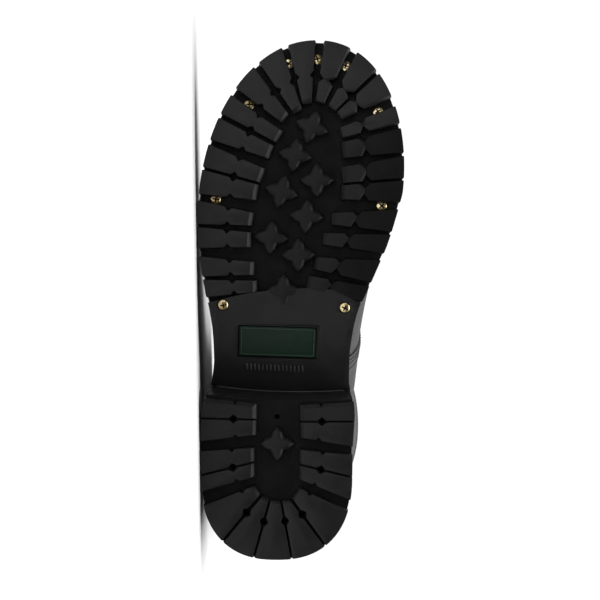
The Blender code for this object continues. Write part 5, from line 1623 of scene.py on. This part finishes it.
def panel(name, stands_for, keep, proud, wall, finish=BLACK_LEATHER):
    """Leather panel of the upper where keep > 0."""
    boot_piece(name, *leather(keep, proud, wall), finish, stands_for, "black_leather", 60)


panel("quarters", ("upper",), -VAMP_INSIDE, 0.0, VAMP_DROP - 0.05)
panel("vamp", ("upper",), VAMP_INSIDE + LAP, -VAMP_DROP, WALL - VAMP_DROP)
panel("shaft_lining", ("upper",), -LAP - VAMP_INSIDE, -VAMP_DROP, WALL - VAMP_DROP, LINING)
panel("counter_leather", ("heel_counter",),
      np.minimum(inside_by(COUNTER, GRID_X, GRID_Z), ABOVE_SEAT - WELT), OVERLAY + 0.1, OVERLAY)
at_back = np.where((GRID_ROWS > 18) & (GRID_SHARES < 0.4), 1.0, -1.0) * 50
panel("backstay_strip", ("backstay",), np.minimum.reduce((
    BACKSTAY_HALF - np.abs(GRID_Y - HEEL_SWING), at_back, GRID_Z - COUNTER_TOP + 1,
    SHAFT_TOP - 6 - GRID_Z)), OVERLAY, OVERLAY)
FACINGS = np.where(GRID_ROWS > FACING_ROW, facing_far(ROWS)[None, :, None] - SKIN_OUTS,
                   (GRID_ROWS - FACING_ROW) * 20)
panel("eyelet_facings", ("facing_outer", "facing_inner"), FACINGS, OVERLAY + 0.05, OVERLAY)

# %% [markdown]
# ## The heel's front skin and its bead
# Smooth rubber closes the hollow front of the heel; it is painted lighter, as painted light. Where
# the shank runs into it there is a thin bead in pale rubber, a painted highlight. The bead could be
# a bevelled curve, but a tube built ring by ring has faces of a known size and a UV map of its own,
# and the collar roll and the lace need the same.

# %% Tubes along a path
def tube(path, radius, sides=10):
    """Tube along a path: points, faces, and (length along, share around) at each face corner."""
    path = np.asarray(path, float)
    along = unit(np.gradient(path, axis=0))
    normal = np.cross(along[0], (0.3, 0.5, 0.8))
    angles = 2 * np.pi * np.arange(sides) / sides
    rings = []
    for place, direction in zip(path, along):
        normal = unit(normal - direction * (normal @ direction))
        rings.append(place + radius * (np.cos(angles)[:, None] * normal
                                       + np.sin(angles)[:, None] * np.cross(direction, normal)))
    faces, corners = [], []
    for k, (start, end) in enumerate(zip(reached(path) * MM, reached(path)[1:] * MM)):
        faces += band(k * sides, (k + 1) * sides, sides)
        for m in range(sides):
            here, after = m / sides, (m + 1) / sides
            corners.append([(start, here), (start, after), (end, after), (end, here)])
    last = (len(path) - 1) * sides
    faces += [list(range(sides))[::-1], list(range(last, last + sides))]
    corners += [[(0.0, 0.0)] * sides] * 2
    return np.concatenate(rings), faces, corners


def tube_piece(name, path, radius, sides, material, stands_for, slot):
    """Piece made of one tube, with its UV map."""
    points, faces, corners = tube(path, radius, sides)
    piece = boot_piece(name, points, faces, material, stands_for, slot, 60)
    corners = [place for face in corners for place in face]
    layer = piece.data.uv_layers.new(name="UVMap")
    layer.data.foreach_set("uv", np.array(corners, np.float32).ravel())


# %% Front face of the heel
FRONT_COLUMNS, FRONT_ROWS, FRONT_WALL, FRONT_INSET = 25, 8, 0.8, 0.9
BEAD_RADIUS = 0.55


def front_row(height, proud):
    """Points across the heel's front face at a height."""
    row = []
    for side in np.linspace(-1, 1, FRONT_COLUMNS):
        x = breast(side * FRONT_HALF, height)
        row.append((x + proud, float(part_way(x, side, FRONT_INSET)), height))
    return np.array(row)


def make_front_face():
    """Heel's front skin in painted light, and a bead on its top edge as a painted highlight."""
    heights = np.linspace(LUG_DEPTH + 0.2, SHANK_FOOT, FRONT_ROWS)
    prouds = np.linspace(0.08, 0.4, FRONT_ROWS)
    outside = np.array([front_row(height, proud) for height, proud in zip(heights, prouds)])
    inside = np.array([front_row(height, -FRONT_WALL) for height in heights])
    boot_piece("heel_front", *shell(outside, inside), LIT_FRONT_RUBBER, (), "sole_rubber")
    bead = front_row(SHANK_FOOT, 0.45)[1:-1]
    bead[:, 2] = rise(bead[:, 0]) + SHANK_DROP + 0.1
    # the bead is in pale rubber as a painted highlight
    tube_piece("heel_front_bead", bead, BEAD_RADIUS, 10, PALE_HIGHLIGHT_RUBBER, (), "sole_rubber")


make_front_face()

# %% [markdown]
# ## Collar, tongue and insole
# The top edge of the shaft is turned over a soft roll. A bevel could round the edge, but a roll is
# thicker than the leather, so it is a tube along the collar. The tongue is one broad piece of
# leather under the throat, bound by the lace; it stands a little above the collar with round
# corners. The insole shows only through the mouth of the shaft.

# %% Collar roll
ROLL_RADIUS = 2.2
collar_middle = SKIN_POINTS[:, -1] - SKIN_NORMALS[:, -1] * (WALL / 2)
collar_line = np.concatenate((collar_middle[0][::-1], collar_middle[1][1:]))
tube_piece("collar_roll", resample(collar_line, 150), ROLL_RADIUS, 14, BLACK_LEATHER, ("upper",),
           "black_leather")


# %% Places on the skin near the throat
def on_skin(row, out, side):
    """Point of the skin at a half width from the ridge, and the direction out of it."""
    here = Section(row)
    centre = here.points(here.angle_out(out), side)
    step = 0.2
    before, after = Section(row - step), Section(min(row + step, len(SECTIONS) - 1))
    along = after.points(after.angle_out(out), side) - before.points(before.angle_out(out), side)
    across = here.points(here.angle_out(out + 1), side) - here.points(here.angle_out(out - 1), side)
    normal = unit(np.cross(along, across))
    return centre, normal if normal[0] + normal[2] > 0 else -normal


# %% Tongue
TONGUE_ROW, TONGUE_TOP, TONGUE_HALF = 7.4, 29.0, 27.0
TONGUE_DEPTH, TONGUE_WALL, TONGUE_CORNER, TONGUE_WAVE = 6.6, 2.0, 0.55, 0.35


def tongue_half(row):
    """Half width of the tongue: narrow at its foot, round at its top corners."""
    half = min(TONGUE_HALF, 12 + 12 * (row - TONGUE_ROW))
    over = (row - (TONGUE_TOP - TONGUE_CORNER)) / TONGUE_CORNER
    return half - 9.0 * (1 - math.sqrt(max(1 - over**2, 0.0))) if over > 0 else half


def make_tongue():
    rows = np.concatenate((np.arange(TONGUE_ROW, 28, 0.25), np.linspace(28, TONGUE_TOP, 16)))
    shares = np.linspace(-1, 1, 25)
    grid, normals = np.zeros((2, len(rows), len(shares), 3))
    for i, row in enumerate(rows):
        half = tongue_half(row)
        for j, share in enumerate(shares):
            side = 1 if share >= 0 else -1
            grid[i, j], normals[i, j] = on_skin(row, max(abs(share) * half, 0.6), side)
    middle = len(shares) // 2
    grid[:, middle, 1] = grid[:, [middle - 1, middle + 1], 1].mean(1)
    waves = TONGUE_WAVE * np.sin(rows * 2.1)[:, None] * (1 - shares**2)[None, :]
    sink = (TONGUE_DEPTH + waves)[..., None]
    shape = shell(grid - normals * sink, grid - normals * (sink + TONGUE_WALL))
    return softened(shape, 0.5, 50, merge=0.01)


boot_piece("tongue_leather", *make_tongue(), BLACK_LEATHER, ("tongue",), "black_leather", 60)

# %% Insole
INSOLE, INSOLE_INSET = 3.0, 1.2


def make_insole():
    """Insole that fills the foot of the upper."""
    rows = []
    for x in stations(9.0, 293.0, 9.0, 18, 6.0):
        narrow = WALL + INSOLE_INSET
        low, high = feather(x, -1) + narrow, feather(x, 1) - narrow
        if high - low > 2:
            rows.append([(x, y) for y in np.linspace(low, high, 9)])
    foot = SLAB + GAP + MIDSOLE + 2 * GAP
    return softened(plate(np.array(rows), above(foot), above(foot + INSOLE)), 0.4)


boot_piece("insole_board", *make_insole(), INSOLE_LEATHER, ("insole",), "insole_leather")

# %% [markdown]
# ## The welt
# The welt is the strip of leather that joins upper and sole. Its edge is trimmed with the
# midsole, a row of heavy thread runs in a groove around its top, and a ribbed wheel has been run
# along it. A bevelled curve would keep one width all round; this profile is swept between two
# lines, the sole's edge and the foot of the upper, so the welt is as wide as the gap between them.

# %% Welt
WELT_RIB, WELT_RIB_HEIGHT, WELT_STEPS, WELT_SEAM = 3.1, 0.16, 1500, 0.42


def skin_at_height(height):
    """Closed line around the upper at a height above the seat."""
    lines = []
    for s in range(2):
        line = []
        for heights, points in zip(ABOVE_SEAT[s], SKIN_POINTS[s]):
            if heights[0] > height:
                break
            k = int(np.argmax(heights > height))
            share = (height - heights[k - 1]) / (heights[k] - heights[k - 1])
            line.append(points[k - 1] * (1 - share) + points[k] * share)
        lines.append(np.array(line)[1:, :2])
    return np.concatenate((lines[0], lines[1][::-1]))


def make_welt():
    outer = resample(np.concatenate((edge_side(1, 0.6), edge_side(-1, 0.6)[::-1][1:-1])),
                     WELT_STEPS, True)
    inner = resample(skin_at_height(WELT), 3000, True)
    nearest = np.array([((inner - point) ** 2).sum(1).argmin() for point in outer])
    hugging = inner[nearest]
    for _ in range(12):
        hugging = (np.roll(hugging, 1, 0) + hugging * 2 + np.roll(hugging, -1, 0)) / 4
    inwards = hugging - outer
    width = np.linalg.norm(inwards, axis=1)[:, None]
    inwards /= width
    length = reached(np.vstack((outer, outer[:1])))[-1]
    turns = np.arange(WELT_STEPS) / WELT_STEPS * round(length / WELT_RIB)
    ribs = WELT_RIB_HEIGHT * np.cos(2 * np.pi * turns)
    profile = (
        # share of the width, more width in mm, height, share of the ribs
        (0, 0.0, 0.25, 0), (0, 0.0, WELT - 0.7, 0.4), (0, 0.25, WELT - 0.2, 1), (0, 0.8, WELT, 1),
        (WELT_SEAM, -0.6, WELT, 1), (WELT_SEAM, 0.0, WELT - 0.35, 0.3), (WELT_SEAM, 0.6, WELT, 1),
        (1, -0.7, WELT + 0.1, 0.4), (1, 0.6, WELT + 0.5, 0), (1, 1.6, 0.25, 0))
    rings = []
    for share, more, height, ribbed in profile:
        flat = outer + inwards * (width * share + more)
        z = seat(flat[:, 0]) + height + ribs * ribbed
        rings.append(np.column_stack((flat, z)))
    faces = [face for k in range(len(rings))
             for face in band(k * WELT_STEPS, (k + 1) % len(rings) * WELT_STEPS, WELT_STEPS)]
    middle = outer + inwards * width * WELT_SEAM
    seam = np.column_stack((middle, seat(middle[:, 0]) + WELT + 0.1))
    return taken(cleaned(np.concatenate(rings), faces, 0.001)), seam


welt_shape, welt_seam = make_welt()
boot_piece("stitched_welt", *welt_shape, EDGE_INK, ("welt",), "edge_leather", 70)

# %% [markdown]
# ## Eyelets and lace
# Nine pairs of turned eyelets hold the facings. The lace starts with a bar across the lowest
# pair, dives through them, and from there on comes up through each eyelet, crosses over and goes
# under the other facing. At the top pair it goes down through the eyelets, and its ends stay
# hidden inside. Separate strands would be simpler to place, but a real lace is one length: so it
# is one long tube along one path, smoothed through the points it has to pass.

# %% Eyelets
EYELET_ROWS = (9.15, 10.2, 11.6, 14.2, 20.9, 23.3, 24.8, 26.05, 27.2)
EYELET_SIDE = 9.5
EYELET_HOLE, EYELET_BARREL, EYELET_FLANGE, EYELET_ROLL = 2.0, 2.6, 4.3, 0.85


def eyelet_place(number, side):
    row = EYELET_ROWS[number]
    return on_skin(row, slit_half(row) + EYELET_SIDE, side)


def make_eyelets():
    face = OVERLAY + 0.05
    profile = [(EYELET_HOLE, -WALL), (EYELET_BARREL, -WALL), (EYELET_BARREL, face)]
    middle, half = (EYELET_FLANGE + EYELET_HOLE) / 2, (EYELET_FLANGE - EYELET_HOLE) / 2
    profile += [(middle + half * math.cos(angle), face + EYELET_ROLL * math.sin(angle))
                for angle in np.linspace(0, math.pi, 9)]
    profile.append((EYELET_HOLE, -WALL))
    places = [(*eyelet_place(number, side), (1.0, 0.0, 0.0))
              for side in SIDES for number in range(len(EYELET_ROWS))]
    names = [f"eyelet_{word}_{n}" for word in ("outer", "inner") for n in range(1, 10)]
    set_on_points("brass_eyelets", turned_solid(profile, 28), places, EYELET_BRASS, names)


make_eyelets()

# %% Lace
def smooth_path(points, steps):
    """Smooth path through points (a Catmull-Rom curve)."""
    points = np.asarray(points, float)
    ends = (2 * points[0] - points[1], 2 * points[-1] - points[-2])
    line = np.vstack((ends[:1], points, ends[1:]))
    path = []
    for a, b, c, d in zip(line, line[1:], line[2:], line[3:]):
        for t in np.arange(steps) / steps:
            path.append(0.5 * (2 * b + (c - a) * t + (2 * a - 5 * b + 4 * c - d) * t**2
                               + (3 * b - a - 3 * c + d) * t**3))
    return np.array(path + [points[-1]])


LACE_RADIUS = 1.55
OVER, UNDER = OVERLAY + EYELET_ROLL + LACE_RADIUS, -(WALL + LACE_RADIUS + 0.15)
CROSS_LIFT = 1.75


def lifted(place, height):
    centre, out = place
    return centre + out * height


def over_edge(number, side, towards):
    """Lace above the edge of the facing beside an eyelet."""
    row = EYELET_ROWS[number]
    row += (EYELET_ROWS[min(number + 1, 8)] - row) * 0.22 * towards
    return lifted(on_skin(row, slit_half(row) + 1.5, side), OVER - 0.3)


def under_edge(number, side):
    """Lace under the edge of the facing, on its way up to an eyelet."""
    row = EYELET_ROWS[number]
    row -= (row - EYELET_ROWS[max(number - 1, 0)]) * 0.2
    return lifted(on_skin(row, slit_half(row) + 1.0, side), UNDER)


def middle_of(first, second, lift, number):
    """Point halfway across the throat, lifted so that two strands pass each other."""
    _, out = on_skin(EYELET_ROWS[number], 1.0, 1)
    return (first + second) / 2 + out * lift


def strand(side):
    """Lace from under the lowest eyelet of one side to the top eyelets, zigzag."""
    path = [lifted(eyelet_place(0, side), UNDER)]
    for number in range(8):
        high = CROSS_LIFT if (side > 0) == (number % 2 == 0) else -CROSS_LIFT
        last = number == 7
        if number == 0:
            first, far = under_edge(0, side), under_edge(1, -side)
        else:
            path += [lifted(eyelet_place(number, side), OVER)]
            first = over_edge(number, side, 1)
            far = over_edge(8, -side, -1) if last else under_edge(number + 1, -side)
        path += [first, middle_of(first, far, high - (2.6 if number == 0 else 0.4), number), far]
        side = -side
        place = eyelet_place(number + 1, side)
        heights = (OVER, 0.0, -WALL - 1) if last else (UNDER, -0.5)
        path += [lifted(place, height) for height in heights]
    return path


def make_lace():
    left, right = strand(-1), strand(1)
    one, other = ([lifted(eyelet_place(0, side), height) for height in (-0.5, OVER)]
                  + [over_edge(0, side, 0)] for side in SIDES)
    bar = one + [middle_of(one[-1], other[-1], 0.6, 0)] + other[::-1]
    path = smooth_path(left[::-1] + bar + right, 9)
    print("lace length:", round(reached(path)[-1]), "mm")
    tube_piece("lace_cord", path, LACE_RADIUS, 12, LACE_BRAID, ("lace",), "lace")


make_lace()

# %% [markdown]
# ## Stitches
# A sewn seam is the same small stitch over and over along a line. A bump in the leather could hint
# at it, but thread stands proud and catches light. The lines are found on the skin; a second
# Geometry Nodes tree turns them into curves, spaces points evenly along them and sets a stitch on
# each, turned along the curve.

# %% The stitching tree
def stitch_tree():
    tree, start, end = new_tree("stitch_row", (
        ("Spacing", "NodeSocketFloat"), ("Length", "NodeSocketFloat"),
        ("Thickness", "NodeSocketFloat"), ("Material", "NodeSocketMaterial")))
    curve = add_node(tree, "GeometryNodeMeshToCurve", {"Mesh": start.outputs["Geometry"]})
    even = add_node(tree, "GeometryNodeResampleCurve", {
        "Curve": curve.outputs["Curve"], "Length": start.outputs["Spacing"]}, mode="LENGTH")
    ball = add_node(tree, "GeometryNodeMeshUVSphere", {"Segments": 8, "Rings": 5, "Radius": 0.5})
    tangent = add_node(tree, "GeometryNodeInputTangent").outputs["Tangent"]
    aimed = add_node(tree, "FunctionNodeAlignRotationToVector", {"Vector": tangent}, axis="X")
    size = add_node(tree, "ShaderNodeCombineXYZ", {
        "X": start.outputs["Length"], "Y": start.outputs["Thickness"],
        "Z": start.outputs["Thickness"]})
    placed = add_node(tree, "GeometryNodeInstanceOnPoints", {
        "Points": even.outputs["Curve"], "Instance": ball.outputs["Mesh"],
        "Rotation": aimed.outputs["Rotation"], "Scale": size.outputs["Vector"]})
    return ended_tree(tree, placed, start, end)


STITCH_TREE = stitch_tree()


def stitch(name, lines, spacing, length, thickness, closed=False):
    """Rows of stitches along lines of points."""
    pairs, count = [], 0
    for line in lines:
        pairs += [(count + k, count + k + 1) for k in range(len(line) - 1)]
        if closed:
            pairs.append((count + len(line) - 1, count))
        count += len(line)
    base = new_mesh(name + "_lines", lay(np.concatenate(lines)), edges=pairs)
    mesh = grown_mesh(name, base, STITCH_TREE, {
        "Spacing": spacing * MM, "Length": length * MM, "Thickness": thickness * MM,
        "Material": THREAD})
    return add_to_boot(name, mesh, (), 80)


# %% Lines of the seams
def skin_tree():
    points, _, faces = merged(*clipped(np.ones_like(SKIN_OUTS)))
    return BVHTree.FromPolygons([Vector(p) for p in points], faces)


SKIN_TREE = skin_tree()
THREE_ROWS, TWO_ROWS = (2.0, 4.4, 8.0), (2.0, 4.4)      # rows of stitches, from the panel's edge


def cast(line, side, proud):
    """Line given as (x, z), cast from the side onto the skin, and moved out by proud."""
    found = []
    for x, z in line:
        hit, normal, _, _ = SKIN_TREE.ray_cast(Vector((x, side * 200.0, z)), Vector((0, -side, 0)))
        if hit is not None:
            out = normal if normal.y * side > 0 else -normal
            found.append(tuple(hit + out * proud))
    return found


def beside(line, distance):
    """Line moved sideways by a distance, to the left of its direction."""
    line = resample(line, 120)
    along = unit(np.gradient(line, axis=0))
    return line + np.stack([-along[:, 1], along[:, 0]], 1) * distance


def seam_lines():
    lines = []
    vamp_edge = VAMP_EDGE[(VAMP_EDGE[:, 1] > 0) & (VAMP_EDGE[:, 1] < 90)]
    counter_edge = COUNTER_EDGE[COUNTER_EDGE[:, 1] > 48]
    for side in SIDES:
        for distance in THREE_ROWS:
            line = beside(vamp_edge, distance)
            line = [(x, z) for x, z in line if z > float(seat(x)) + WELT + 1 and x < 186]
            lines.append(cast(line, side, 0.12))
        for distance in TWO_ROWS:
            line = [(x, z) for x, z in beside(counter_edge, distance) if x > 12]
            lines.append(cast(line, side, OVERLAY + 0.2))
        rows = np.linspace(9.0, 27.75, 150)
        outs = [facing_far(rows) - inset for inset in TWO_ROWS]
        outs.append(np.vectorize(slit_half)(rows) + 2.2)
        for number, line in enumerate(outs):
            places = [on_skin(row, out, side) for row, out in zip(rows, line)]
            lines.append([lifted(place, OVERLAY + 0.15) for place in places[3 * (number > 1):]])
    return lines


def collar_seam():
    """Row of stitches under the collar roll."""
    i = int(np.searchsorted(ROWS, COLLAR_ROW - 0.35))
    shown = FACINGS[:, i] < -1
    return [(SKIN_POINTS[s, i] + SKIN_NORMALS[s, i] * 0.12)[shown[s]] for s in range(2)]


stitch("upper_stitches", seam_lines() + collar_seam(), 2.7, 2.25, 0.62)
stitch("welt_stitches", [welt_seam[::4]], 4.6, 3.9, 1.25, closed=True)
